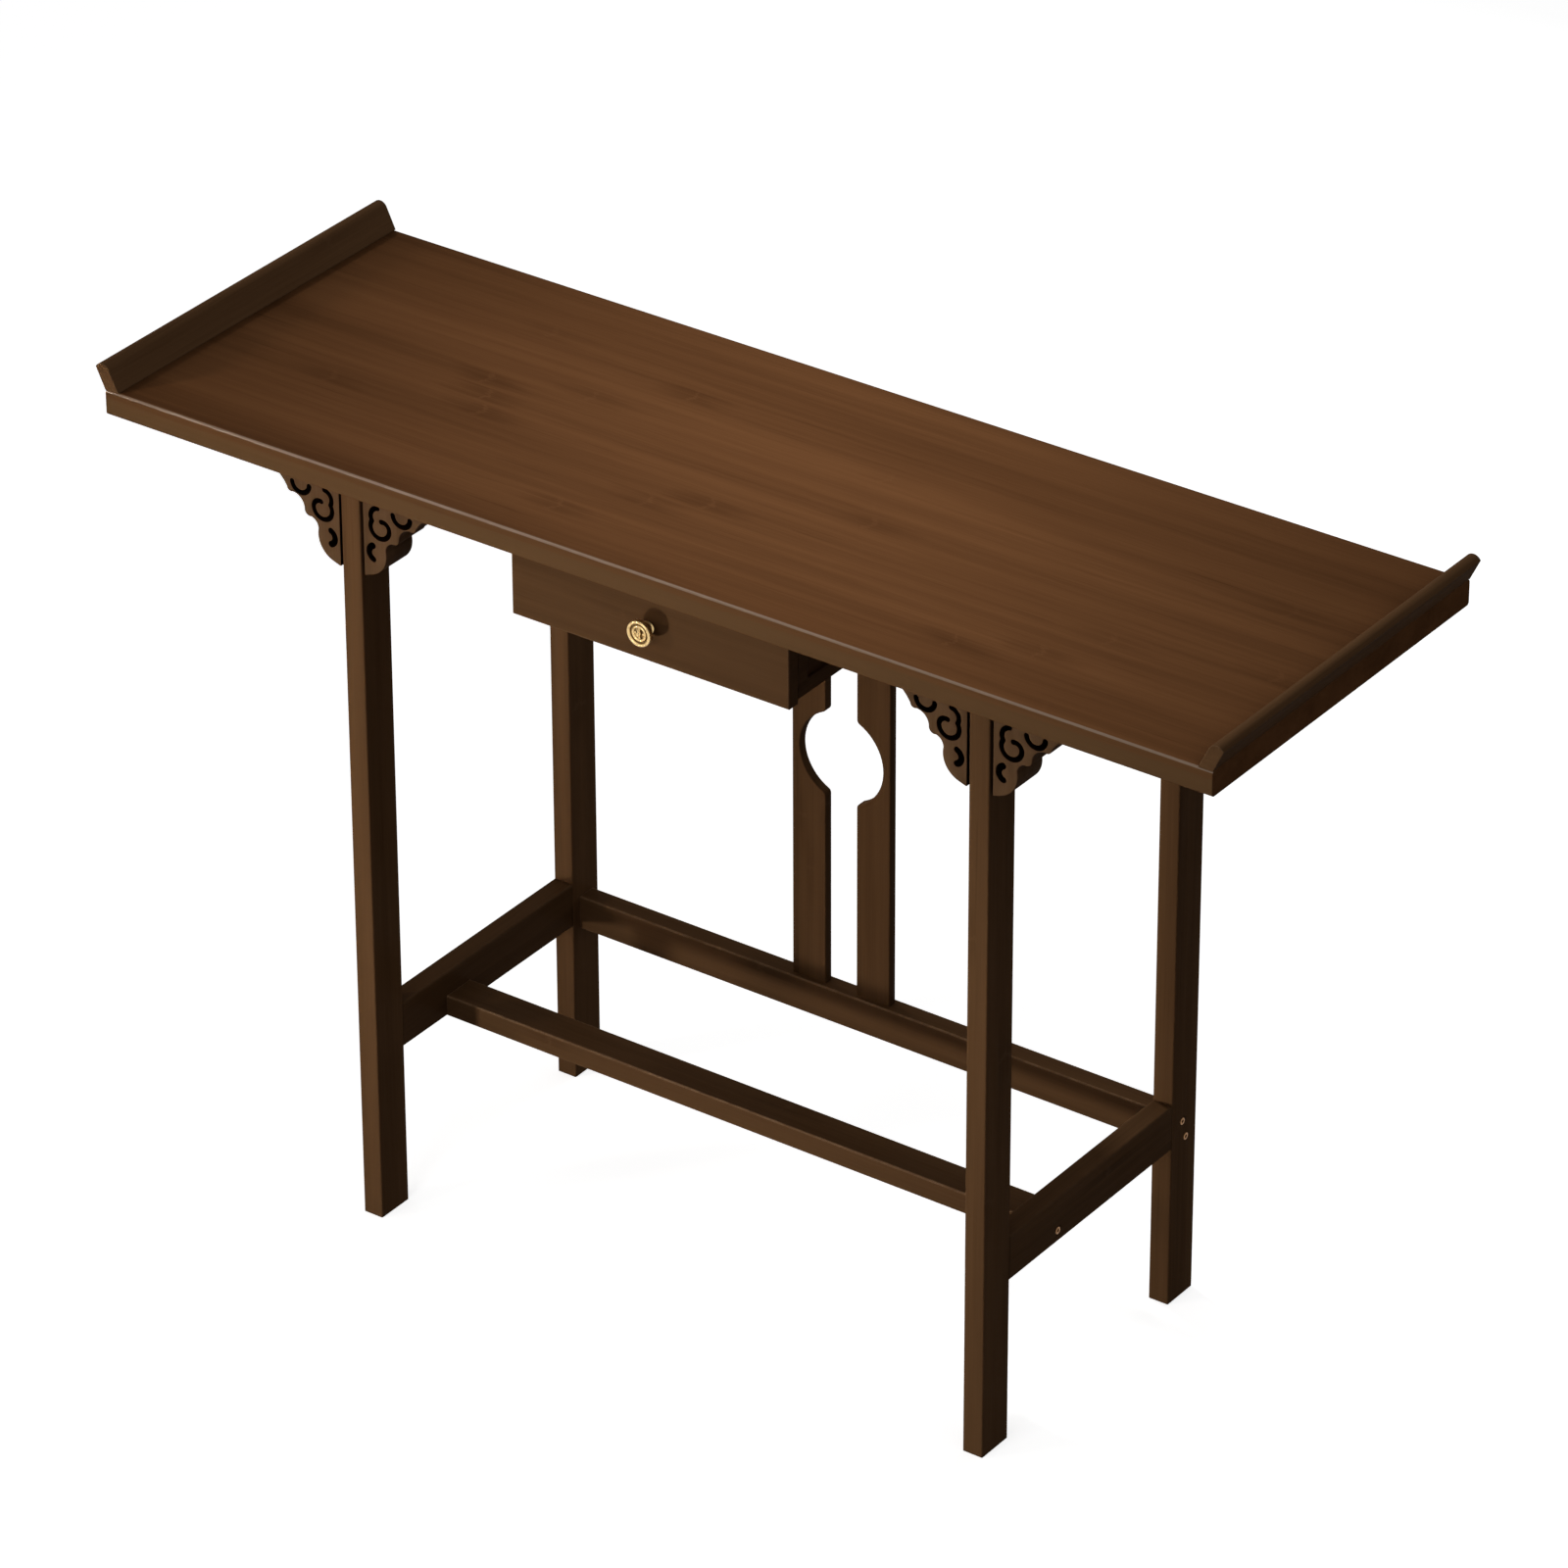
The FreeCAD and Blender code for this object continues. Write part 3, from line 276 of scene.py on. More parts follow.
def build_bamboo_grain():
    """The group that gives stained bamboo its colour, roughness and height."""
    tree, start, end = new_group(
        "bamboo_grain",
        [
            ("Along Grain", VECTOR, None),
            ("Strip Width", NUMBER, 0.026),
            ("Layer Height", NUMBER, 0.0085),
            ("Node Spacing", NUMBER, 0.42),
            ("Dark Tone", COLOUR, (0.03, 0.012, 0.005, 1.0)),
            ("Light Tone", COLOUR, (0.12, 0.05, 0.02, 1.0)),
        ],
        [("Color", COLOUR), ("Roughness", NUMBER), ("Height", NUMBER)],
    )
    place = start["Along Grain"]
    axes = add_node(tree, "ShaderNodeSeparateXYZ", {0: place}).outputs
    across = calc(tree, "DIVIDE", axes[1], start["Strip Width"])
    layer = calc(tree, "DIVIDE", axes[2], start["Layer Height"])
    chance = chance_of(tree, calc(tree, "FLOOR", across), calc(tree, "FLOOR", layer))
    mark, smudge = node_marks(tree, place, axes[0], across, chance, start["Node Spacing"])

    fibre = grain_noise(tree, place, *FIBRE_NOISE)
    streak = grain_noise(tree, place, *STREAK_NOISE)
    smoke = grain_noise(tree, place, *SMOKE_NOISE)
    thread = remap(tree, grain_noise(tree, place, *THREAD_NOISE), *THREAD_FADE)
    tone = calc(tree, "MULTIPLY_ADD", centred(tree, chance), STRIP_CONTRAST, MIDDLE_TONE)
    for part, weight in ((fibre, 0.30), (streak, 0.45), (smoke, 0.80)):
        tone = calc(tree, "MULTIPLY_ADD", centred(tree, part), weight, tone)
    for part, weight in ((mark, 0.15), (smudge, -0.20), (thread, -0.14)):
        tone = calc(tree, "MULTIPLY_ADD", part, weight, tone)
    tone = calc(tree, "ADD", tone, 0.0, clamp=True)
    colour = blend_colour(tree, tone, start["Dark Tone"], start["Light Tone"])
    tree.links.new(colour, end["Color"])
    rough = calc(tree, "MULTIPLY_ADD", centred(tree, fibre), FIBRE_ROUGHNESS, WOOD_ROUGHNESS)
    rough = calc(tree, "MULTIPLY_ADD", smudge, SMUDGE_ROUGHNESS, rough, clamp=True)
    tree.links.new(rough, end["Roughness"])
    tree.links.new(calc(tree, "MULTIPLY_ADD", mark, CHEVRON_HEIGHT, fibre), end["Height"])
    return tree


bamboo_grain = build_bamboo_grain()
print("bamboo grain:", len(bamboo_grain.nodes), "nodes")

# %% [markdown]
# ## Edge wear
# Hands and dusters rub the stain thin along every corner, so edges read a little lighter than
# faces. The lighter edge is partly that wear and partly a painted highlight, the glint that a
# corner catches, and corners that face up get the most of it. The Bevel node gives the normal
# that a rounded corner would have. Where it differs from the true normal there is an edge, and a
# noise breaks the line up so that it looks rubbed and not drawn. The same normal is put out as
# well, so that the sharp corners of a solid shine as if they were eased with sandpaper.

# %% Edge wear group
# How far the two normals agree where the wear and its painted highlight start and where they are
# full
EDGE_FADE = (0.998, 0.95)
# How far an edge tilts up, and the share of the wear and painted highlight that it gets
UPWARD_TILT = (0.0, 0.4)
UPWARD_SHARE = (0.3, 1.0)
PATCH_SCALE = 46.0
PATCH_FADE = (0.35, 0.65)


def build_edge_wear():
    """The group that finds rubbed edges, which also carry a painted highlight, and gives the normal
    of an eased corner.
    """
    tree, start, end = new_group(
        "edge_wear_and_glint",
        [("Place", VECTOR, None), ("Width", NUMBER, 0.0015), ("Patchiness", NUMBER, 0.5)],
        [("Mask", NUMBER), ("Normal", VECTOR)],
    )
    rounded = add_node(tree, "ShaderNodeBevel", {"Radius": start["Width"]}, samples=4)
    facing = add_node(tree, "ShaderNodeNewGeometry").outputs["Normal"]
    agree = add_node(
        tree,
        "ShaderNodeVectorMath",
        {0: rounded.outputs[0], 1: facing},
        operation="DOT_PRODUCT",
    ).outputs["Value"]
    tilt = add_node(tree, "ShaderNodeSeparateXYZ", {0: rounded.outputs[0]}).outputs[2]
    reached = remap(tree, tilt, *UPWARD_TILT, *UPWARD_SHARE)
    edge = calc(tree, "MULTIPLY", remap(tree, agree, *EDGE_FADE), reached)
    cloud = noise(tree, start["Place"], PATCH_SCALE, detail=3.0, roughness=0.6)
    patches = remap(tree, cloud, *PATCH_FADE)
    kept = calc(tree, "SUBTRACT", 1.0, calc(tree, "MULTIPLY", start["Patchiness"], patches))
    tree.links.new(calc(tree, "MULTIPLY", edge, kept), end["Mask"])
    tree.links.new(rounded.outputs[0], end["Normal"])
    return tree


edge_wear_and_glint = build_edge_wear()
print("edge wear:", len(edge_wear_and_glint.nodes), "nodes")

# %% [markdown]
# ## Stained bamboo finishes
# One function makes every bamboo finish of the table. What differs between pieces is the way the
# fibres run, the width of the strips and the tone of the stain: the top is warmer and redder than
# the legs and rails, and the drawer's box is left pale. The legs, the upturned ends and the carving
# take the rails' tone made lighter, and the splats take it darker: painted light and shade that
# evens out how the lamps fall on them. The lacquer is thin and satin, so most of the gloss is a
# light coat whose weight follows the pores.

# %% Stained bamboo
QUARTER = math.pi / 2
# Turns that bring each axis of the table onto the first axis of the grain
GRAIN_TURNS = {"x": (0.0, 0.0, 0.0), "y": (0.0, 0.0, -QUARTER), "z": (0.0, QUARTER, 0.0)}
TOP_TONES = ((0.062, 0.0245, 0.0088, 1.0), (0.168, 0.0725, 0.0280, 1.0))
FRAME_TONES = ((0.044, 0.0205, 0.0084, 1.0), (0.108, 0.0545, 0.0236, 1.0))
# The next four are the rails' tone made lighter or darker: painted light and shade, not other
# stains.
LEG_TONES_PAINTED_LIGHTER = ((0.053, 0.0250, 0.0100, 1.0), (0.130, 0.0655, 0.0284, 1.0))
FLANGE_TONES_PAINTED_LIGHTER = ((0.062, 0.0295, 0.0124, 1.0), (0.152, 0.0780, 0.0346, 1.0))
SPLAT_TONES_PAINTED_DARKER = ((0.038, 0.0175, 0.0070, 1.0), (0.094, 0.0465, 0.0195, 1.0))
CARVED_TONES_PAINTED_LIGHTER = ((0.056, 0.0285, 0.0130, 1.0), (0.132, 0.0720, 0.0360, 1.0))
DRAWER_TONES = ((0.130, 0.0640, 0.0270, 1.0), (0.300, 0.1620, 0.0740, 1.0))
DOWEL_TONES = ((0.220, 0.1200, 0.0550, 1.0), (0.480, 0.3000, 0.1500, 1.0))
# Rubbed corners: real wear, and also a painted highlight along the edges.
WORN_STAIN_AND_GLINT = (0.30, 0.180, 0.100, 1.0)
GRAIN_BUMP = 0.0002
GRAIN_RELIEF = 0.3
# The grain's height from pore to ridge, and the weight of the lacquer there
PORE_RANGE = (0.3, 0.7)
LACQUER_RANGE = (0.01, 0.03)
LACQUER_ROUGHNESS = 0.3


def bamboo_finish(name, grain, tones, strip=0.026, layer=0.0085, wear=0.12, corner=0.0015):
    """A stained bamboo material whose fibres run along one axis of the table."""
    finish = bpy.data.materials.new(name)
    finish.use_nodes = True
    tree = finish.node_tree
    shader = tree.nodes["Principled BSDF"].inputs
    place = add_node(tree, "ShaderNodeTexCoord").outputs["Object"]
    turned = add_node(
        tree, "ShaderNodeMapping", {"Vector": place, "Rotation": GRAIN_TURNS[grain]}
    ).outputs["Vector"]
    grain_inputs = {
        "Along Grain": turned,
        "Strip Width": strip,
        "Layer Height": layer,
        "Dark Tone": tones[0],
        "Light Tone": tones[1],
    }
    wood = add_node(tree, "ShaderNodeGroup", grain_inputs, node_tree=bamboo_grain).outputs
    wear_inputs = {"Place": place, "Width": corner}
    worn = add_node(tree, "ShaderNodeGroup", wear_inputs, node_tree=edge_wear_and_glint).outputs
    # Lighter edges: partly wear, partly a painted highlight.
    worn_and_glinting = calc(tree, "MULTIPLY", worn["Mask"], wear)
    colour = blend_colour(tree, worn_and_glinting, wood["Color"], WORN_STAIN_AND_GLINT)
    tree.links.new(colour, shader["Base Color"])
    tree.links.new(wood["Roughness"], shader["Roughness"])
    lacquer = remap(tree, wood["Height"], *PORE_RANGE, *LACQUER_RANGE)
    tree.links.new(lacquer, shader["Coat Weight"])
    shader["Specular IOR Level"].default_value = 0.0
    shader["Coat Roughness"].default_value = LACQUER_ROUGHNESS
    bump_inputs = {
        "Strength": GRAIN_RELIEF,
        "Distance": GRAIN_BUMP,
        "Height": wood["Height"],
        "Normal": worn["Normal"],
    }
    bump = add_node(tree, "ShaderNodeBump", bump_inputs).outputs["Normal"]
    tree.links.new(bump, shader["Normal"])
    return finish


top_bamboo = bamboo_finish("top_bamboo", "x", TOP_TONES)
# Full edge wear on the rails is mostly a painted highlight: the light lines along their upper
# corners.
rail_bamboo = bamboo_finish("rail_bamboo_lengthwise", "x", FRAME_TONES, wear=1.0, corner=0.0022)
side_bamboo = bamboo_finish("rail_bamboo_crosswise", "y", FRAME_TONES, corner=0.004)
flange_bamboo = bamboo_finish("flange_bamboo", "y", FLANGE_TONES_PAINTED_LIGHTER, wear=0.6)
leg_bamboo = bamboo_finish("leg_bamboo", "z", LEG_TONES_PAINTED_LIGHTER, layer=0.0105, corner=0.0025)
splat_bamboo = bamboo_finish("splat_bamboo", "z", SPLAT_TONES_PAINTED_DARKER)
carved_bamboo = bamboo_finish("carved_bamboo", "z", CARVED_TONES_PAINTED_LIGHTER)
box_bamboo = bamboo_finish("drawer_box_bamboo", "y", DRAWER_TONES, wear=0.1)
box_bamboo_cross = bamboo_finish("drawer_box_bamboo_cross", "x", DRAWER_TONES, wear=0.1)
dowel_wood = bamboo_finish("dowel_wood", "x", DOWEL_TONES, strip=0.004, layer=0.004, wear=0.0)
print("bamboo finishes:", len(bpy.data.materials))

# %% [markdown]
# Two finishes need one thing more. The pierced scrolls get painted shade in their hollows, which
# makes the carving's hollows nearly black: the Ambient Occlusion node tells how closed in a point
# is. The same node, reaching further, paints a soft shadow on the top along the upturned ends. The
# long edge of the top gets a lighter lower band, a painted reflection of the pale floor laid out
# like the layers that the board was pressed from, and its rounded corner gets a painted highlight
# and a gloss that draws a bright line under the lamps: both follow the way that the surface faces.

# %% Carving and board edge
# The colour of painted shade in hollows
HOLLOW_PAINTED_SHADE = (0.005, 0.0022, 0.0012, 1.0)
OPEN = 0.94
CARVING_REACH = 0.012
CORNER_REACH = 0.05
# Depths below the top face between which the darker upper band of the edge gives way to the
# lighter lower band, a painted reflection of the pale floor
BAND_DEPTHS = (0.0065, 0.0095)
LOWER_BAND_SHARE = (0.35, 0.75)
LONG_EDGE_FADE = (0.7, 0.95)
# The lower band's painted reflection, and the corner's painted highlight
LOWER_BAND_PAINTED_REFLECTION = (0.100, 0.0560, 0.0250, 1.0)
ARRIS_PAINTED_HIGHLIGHT = (0.150, 0.0830, 0.0390, 1.0)
ARRIS_FADE = (0.25, 0.45)
ARRIS_GLOSS = 0.34
ARRIS_ROUGHNESS = 0.38
FACE_LACQUER = 0.3
DENSE_LACQUER = 2.2


def paint_shade_in_hollows(finish, reach, shut, strength):
    """Paint shade where the surface is closed in, fully where the openness is shut."""
    tree = finish.node_tree
    base = tree.nodes["Principled BSDF"].inputs["Base Color"]
    hollow = add_node(tree, "ShaderNodeAmbientOcclusion", {"Distance": reach}, samples=8)
    depth = remap(tree, hollow.outputs["AO"], OPEN, shut, 0.0, strength)
    colour = blend_colour(tree, depth, base.links[0].from_socket, HOLLOW_PAINTED_SHADE)
    tree.links.new(colour, base)


def show_board_edge(finish, top_face):
    """Paint a reflection of the pale floor as a lighter lower band on a board's long edges, and a
    painted highlight and a gloss on the corner above.
    """
    tree = finish.node_tree
    shader = tree.nodes["Principled BSDF"].inputs
    normal = add_node(tree, "ShaderNodeNewGeometry").outputs["Normal"]
    facing = add_node(tree, "ShaderNodeSeparateXYZ", {0: normal}).outputs
    outward = calc(tree, "ABSOLUTE", facing[1])
    place = add_node(tree, "ShaderNodeTexCoord").outputs["Object"]
    height = add_node(tree, "ShaderNodeSeparateXYZ", {0: place}).outputs[2]
    # A lighter lower band on the long edges: a painted reflection of the pale floor.
    lower_band = remap(tree, height, *(top_face - depth for depth in BAND_DEPTHS), *LOWER_BAND_SHARE)
    edge = calc(tree, "MULTIPLY", remap(tree, outward, *LONG_EDGE_FADE), lower_band)
    colour = blend_colour(tree, edge, shader["Base Color"].links[0].from_socket, LOWER_BAND_PAINTED_REFLECTION)
    # A lighter colour on the rounded corner: a painted highlight, besides the real gloss below.
    arris = remap(tree, calc(tree, "MULTIPLY", outward, facing[2]), *ARRIS_FADE)
    colour = blend_colour(tree, arris, colour, ARRIS_PAINTED_HIGHLIGHT)
    tree.links.new(colour, shader["Base Color"])
    lacquer = shader["Coat Weight"].links[0].from_socket
    thin_coat = calc(tree, "MULTIPLY", lacquer, FACE_LACQUER)
    gloss = calc(tree, "MAXIMUM", calc(tree, "MULTIPLY", arris, ARRIS_GLOSS), thin_coat)
    tree.links.new(gloss, shader["Coat Weight"])
    shader["Coat IOR"].default_value = DENSE_LACQUER
    shader["Coat Roughness"].default_value = ARRIS_ROUGHNESS


# Painted shade: the carving's hollows darkened nearly to black.
paint_shade_in_hollows(carved_bamboo, CARVING_REACH, shut=0.72, strength=1.0)
# Painted shadow: the top darkened softly along the upturned ends.
paint_shade_in_hollows(top_bamboo, CORNER_REACH, shut=0.55, strength=0.75)
show_board_edge(top_bamboo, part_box("tabletop")[1].z)
print("hollows darkened, board edge shown")

# %% [markdown]
# ## Metal finishes
# The knob is turned brass, bright on its rim and dull in its grooves. The bolt heads are
# copper-plated and the hidden screws are zinc-plated. All three are one recipe: a metal colour, a
# darker tarnish that gathers in hollows, and a roughness that wanders over the surface as fingers
# leave it.

# %% Metals
GRIME_REACH = 0.003
GRIME_FADE = (0.85, 0.35)
SPOT_FADE = (0.45, 0.75)
DIRT_ROUGHNESS = 0.3
BLOTCH_ROUGHNESS = 0.12
SCRATCH_FINENESS = 9.0
SCRATCH_BUMP = 0.0001
SCRATCH_RELIEF = 0.15


def metal_finish(name, bright, tarnish, roughness, scale, tarnished=0.5):
    """A metal with tarnish in its hollows and an uneven polish."""
    finish = bpy.data.materials.new(name)
    finish.use_nodes = True
    tree = finish.node_tree
    shader = tree.nodes["Principled BSDF"]
    place = add_node(tree, "ShaderNodeTexCoord").outputs["Object"]
    blotch = noise(tree, place, scale, detail=4.0, roughness=0.6)
    hollow = add_node(tree, "ShaderNodeAmbientOcclusion", {"Distance": GRIME_REACH}, samples=8)
    grime = remap(tree, hollow.outputs["AO"], *GRIME_FADE)
    spots = calc(tree, "MULTIPLY", remap(tree, blotch, *SPOT_FADE), tarnished)
    dirt = calc(tree, "MAXIMUM", grime, spots)
    tree.links.new(blend_colour(tree, dirt, bright, tarnish), shader.inputs["Base Color"])
    polish = calc(tree, "MULTIPLY_ADD", dirt, DIRT_ROUGHNESS, roughness)
    polish = calc(tree, "MULTIPLY_ADD", blotch, BLOTCH_ROUGHNESS, polish, clamp=True)
    tree.links.new(polish, shader.inputs["Roughness"])
    shader.inputs["Metallic"].default_value = 1.0
    fine = noise(tree, place, scale * SCRATCH_FINENESS)
    bump_inputs = {"Strength": SCRATCH_RELIEF, "Distance": SCRATCH_BUMP, "Height": fine}
    bump = add_node(tree, "ShaderNodeBump", bump_inputs).outputs["Normal"]
    tree.links.new(bump, shader.inputs["Normal"])
    return finish


brass = metal_finish(
    "turned_brass",
    bright=(0.76, 0.54, 0.25, 1.0),
    tarnish=(0.09, 0.042, 0.013, 1.0),
    roughness=0.22,
    scale=180.0,
)
copper = metal_finish(
    "copper_plate",
    bright=(0.235, 0.120, 0.050, 1.0),
    tarnish=(0.055, 0.024, 0.011, 1.0),
    roughness=0.34,
    scale=260.0,
)
zinc = metal_finish(
    "zinc_plate",
    bright=(0.62, 0.61, 0.57, 1.0),
    tarnish=(0.25, 0.24, 0.22, 1.0),
    roughness=0.32,
    scale=260.0,
    tarnished=0.3,
)
print("metals: brass, copper, zinc")

# %% [markdown]
# ## Finish for each solid
# A solid from the frame already has its shape, so it only needs its finish. The fibres of each
# piece run along its longest side, as a maker would cut it.

# %% Assign finishes
SOLID_FINISHES = {
    top_bamboo: ["tabletop"],
    rail_bamboo: [
        "upper_back_rail", "back_stretcher", "front_stretcher", "drawer_front", "drawer_case_back"
    ],
    side_bamboo: [
        "upper_side_rail_left", "upper_side_rail_right", "side_stretcher_left",
        "side_stretcher_right", "drawer_case_side_left", "drawer_case_side_right",
    ],
    flange_bamboo: ["end_flange_left", "end_flange_right"],
    leg_bamboo: ["leg_front_left", "leg_front_right", "leg_back_left", "leg_back_right"],
    splat_bamboo: ["splat_left", "splat_right"],
    carved_bamboo: [
        "spandrel_left_outer", "spandrel_left_inner", "spandrel_right_inner",
        "spandrel_right_outer",
    ],
    box_bamboo: [
        "drawer_side_left", "drawer_side_right", "drawer_runner_left", "drawer_runner_right"
    ],
    box_bamboo_cross: ["drawer_back", "drawer_bottom"],
    dowel_wood: ["rail_dowels", "spandrel_pegs", "flange_pegs", "case_pegs", "drawer_pegs"],
    zinc: ["threaded_inserts", "top_screws", "runner_screws", "knob_screw"],
    copper: ["stretcher_bolts"],
    brass: ["knob"],
}


def dress(piece, finish):
    """Give a whole piece one finish."""
    piece.data.materials.clear()
    piece.data.materials.append(finish)


for finish, names in SOLID_FINISHES.items():
    for name in names:
        dress(frame["nodes"][name], finish)
dressed = {name for names in SOLID_FINISHES.values() for name in names}
print("solids dressed:", len(dressed), "left:", sorted(set(frame["nodes"]) - dressed))

# %% [markdown]
# ## Eased carving
# A carver breaks every sharp edge with a knife or sandpaper, and on a pierced bracket those eased
# edges are what catches the light. A Bevel modifier does the same on a copy of the solid. The
# copy's triangles are merged and its flat faces joined first, because a bevel needs the real edges
# of the piece and not the loose triangles that a packed file holds. The solid itself stays for
# the physics.

# %% Eased copies
EASE_ANGLE = math.radians(32.0)
EASE_STEPS = 3
FLAT_ANGLE = math.radians(0.6)
SAME_POINT = 2e-6


def merged_copy(node):
    """The mesh of a solid with its triangles joined into the faces they came from."""
    mesh = frame["nodes"][node].data.copy()
    shape = bmesh.new()
    shape.from_mesh(mesh)
    bmesh.ops.remove_doubles(shape, verts=shape.verts, dist=SAME_POINT)
    bmesh.ops.dissolve_limit(
        shape, angle_limit=FLAT_ANGLE, verts=shape.verts, edges=shape.edges
    )
    shape.to_mesh(mesh)
    shape.free()
    return mesh


def plain_mesh(piece):
    """Swap a piece's mesh for the result of its modifiers, and drop them."""
    graph = bpy.context.evaluated_depsgraph_get()
    result = bpy.data.meshes.new_from_object(piece.evaluated_get(graph))
    piece.modifiers.clear()
    piece.data = result
    return piece


def eased_copy(node, finish, body, width):
    """A copy of a solid with softened edges, standing for it on its body."""
    piece = bpy.data.objects.new(node + "_eased", merged_copy(node))
    scene.collection.objects.link(piece)
    ease = piece.modifiers.new("ease", "BEVEL")
    ease.width = width
    ease.segments = EASE_STEPS
    ease.limit_method = "ANGLE"
    ease.angle_limit = EASE_ANGLE
    ease.use_clamp_overlap = True
    plain_mesh(piece)
    piece.data.shade_smooth()
    piece.data.set_sharp_from_angle(angle=EASE_ANGLE)
    dress(piece, finish)
    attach(piece, body)
    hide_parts(node)
    return piece


EASE_WIDTHS = {carved_bamboo: 0.0010, splat_bamboo: 0.0011}
for finish, width in EASE_WIDTHS.items():
    for name in SOLID_FINISHES[finish]:
        piece = eased_copy(name, finish, "table_frame", width)
        print(piece.name, len(piece.data.polygons), "faces")

# %% [markdown]
# ## Drawer knob
# The knob is turned brass with a thick bright rim, a dark groove and a small cast medallion. A
# turned shape is one section spun round its axis, so the body is a list of radii and depths that
# is spun with bmesh. The medallion's petals repeat round the middle, which is work for Geometry
# Nodes: one petal is shaped from a small ball and set out on a circle.

# %% Knob body
def millimetres(*pairs):
    """Radius and depth pairs in metres."""
    return [(radius / 1000.0, depth / 1000.0) for radius, depth in pairs]


# From the middle of the dish over its ring and groove, the rim and the edge, to the neck and foot
KNOB_SECTION = millimetres(
    (0.0, 3.1), (4.9, 3.1), (5.2, 2.6), (5.5, 1.6), (6.0, 1.1), (6.6, 0.95), (7.2, 1.1),
    (7.7, 1.6), (8.0, 2.4), (8.4, 2.9), (8.9, 2.9), (9.2, 2.3), (9.45, 1.3), (9.8, 0.6),
    (10.3, 0.2), (11.0, 0.0), (11.5, 0.05), (11.9, 0.25),
    (12.3, 0.75), (12.5, 1.8), (12.5, 2.9), (12.3, 4.2), (12.0, 5.1), (11.0, 5.95), (9.0, 6.7),
    (7.2, 7.6), (5.8, 8.8), (5.1, 10.2), (4.95, 11.6), (5.1, 13.2), (5.5, 14.2), (6.0, 14.8),
    (6.25, 15.3), (6.25, 16.0), (0.0, 16.0),
)
KNOB_STEPS = 72
SPIN_SEAM = 1e-6

knob_low, knob_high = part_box("knob")
knob_middle = Vector(((knob_low.x + knob_high.x) / 2, knob_low.y, (knob_low.z + knob_high.z) / 2))


def spun(name, section, steps, start):
    """A section of radii and depths turned round an axis that runs from front to back."""
    mesh = bpy.data.meshes.new(name)
    shape = bmesh.new()
    points = [shape.verts.new((radius, depth, 0.0)) for radius, depth in section]
    edges = [shape.edges.new(pair) for pair in zip(points, points[1:])]
    bmesh.ops.spin(
        shape, geom=points + edges, axis=(0, 1, 0), cent=(0, 0, 0), steps=steps, angle=math.tau
    )
    bmesh.ops.remove_doubles(shape, verts=shape.verts, dist=SPIN_SEAM)
    bmesh.ops.recalc_face_normals(shape, faces=shape.faces)
    bmesh.ops.translate(shape, verts=shape.verts, vec=start)
    shape.to_mesh(mesh)
    shape.free()
    mesh.shade_smooth()
    piece = bpy.data.objects.new(name, mesh)
    scene.collection.objects.link(piece)
    return piece


knob_body = spun("knob_body", KNOB_SECTION, KNOB_STEPS, knob_middle)
dress(knob_body, brass)
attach(knob_body, "drawer")
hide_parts("knob")
print("knob body:", len(knob_body.data.polygons), "faces")

# %% [markdown]
# The tree for the petals starts from a circle with one point for each petal. Every point gets a
# small rounded leaf that is pulled to a tip at both ends, turned to face outwards. Sizes are named
# inputs, so another flower is a change of numbers.

# %% Knob petals
BALL = {"Segments": 20, "Rings": 12, "Radius": 1.0}
# The breadth of a leaf at its tips, and what is added towards its middle
LEAF_TIP = 0.4
LEAF_SWELL = 0.6
MEDALLION_DEPTH = 0.0026
FACING_FRONT = Matrix.Rotation(QUARTER, 4, "X")


def geometry_tree(name, inputs):
    """A Geometry Nodes tree with named inputs, and its two end nodes."""
    tree = bpy.data.node_groups.new(name, "GeometryNodeTree")
    tree.interface.new_socket("Geometry", in_out="INPUT", socket_type="NodeSocketGeometry")
    tree.interface.new_socket("Geometry", in_out="OUTPUT", socket_type="NodeSocketGeometry")
    for label, kind in inputs:
        tree.interface.new_socket(label, in_out="INPUT", socket_type=kind)
    return tree, tree.nodes.new("NodeGroupInput").outputs, tree.nodes.new("NodeGroupOutput").inputs


def run_tree(piece, tree, values):
    """Set a tree's inputs on a piece, then keep the plain mesh it makes."""
    modifier = piece.modifiers.new("made_by_nodes", "NODES")
    modifier.node_group = tree
    for item in tree.interface.items_tree:
        if item.in_out == "INPUT" and item.name in values:
            modifier[item.identifier] = values[item.name]
    return plain_mesh(piece)


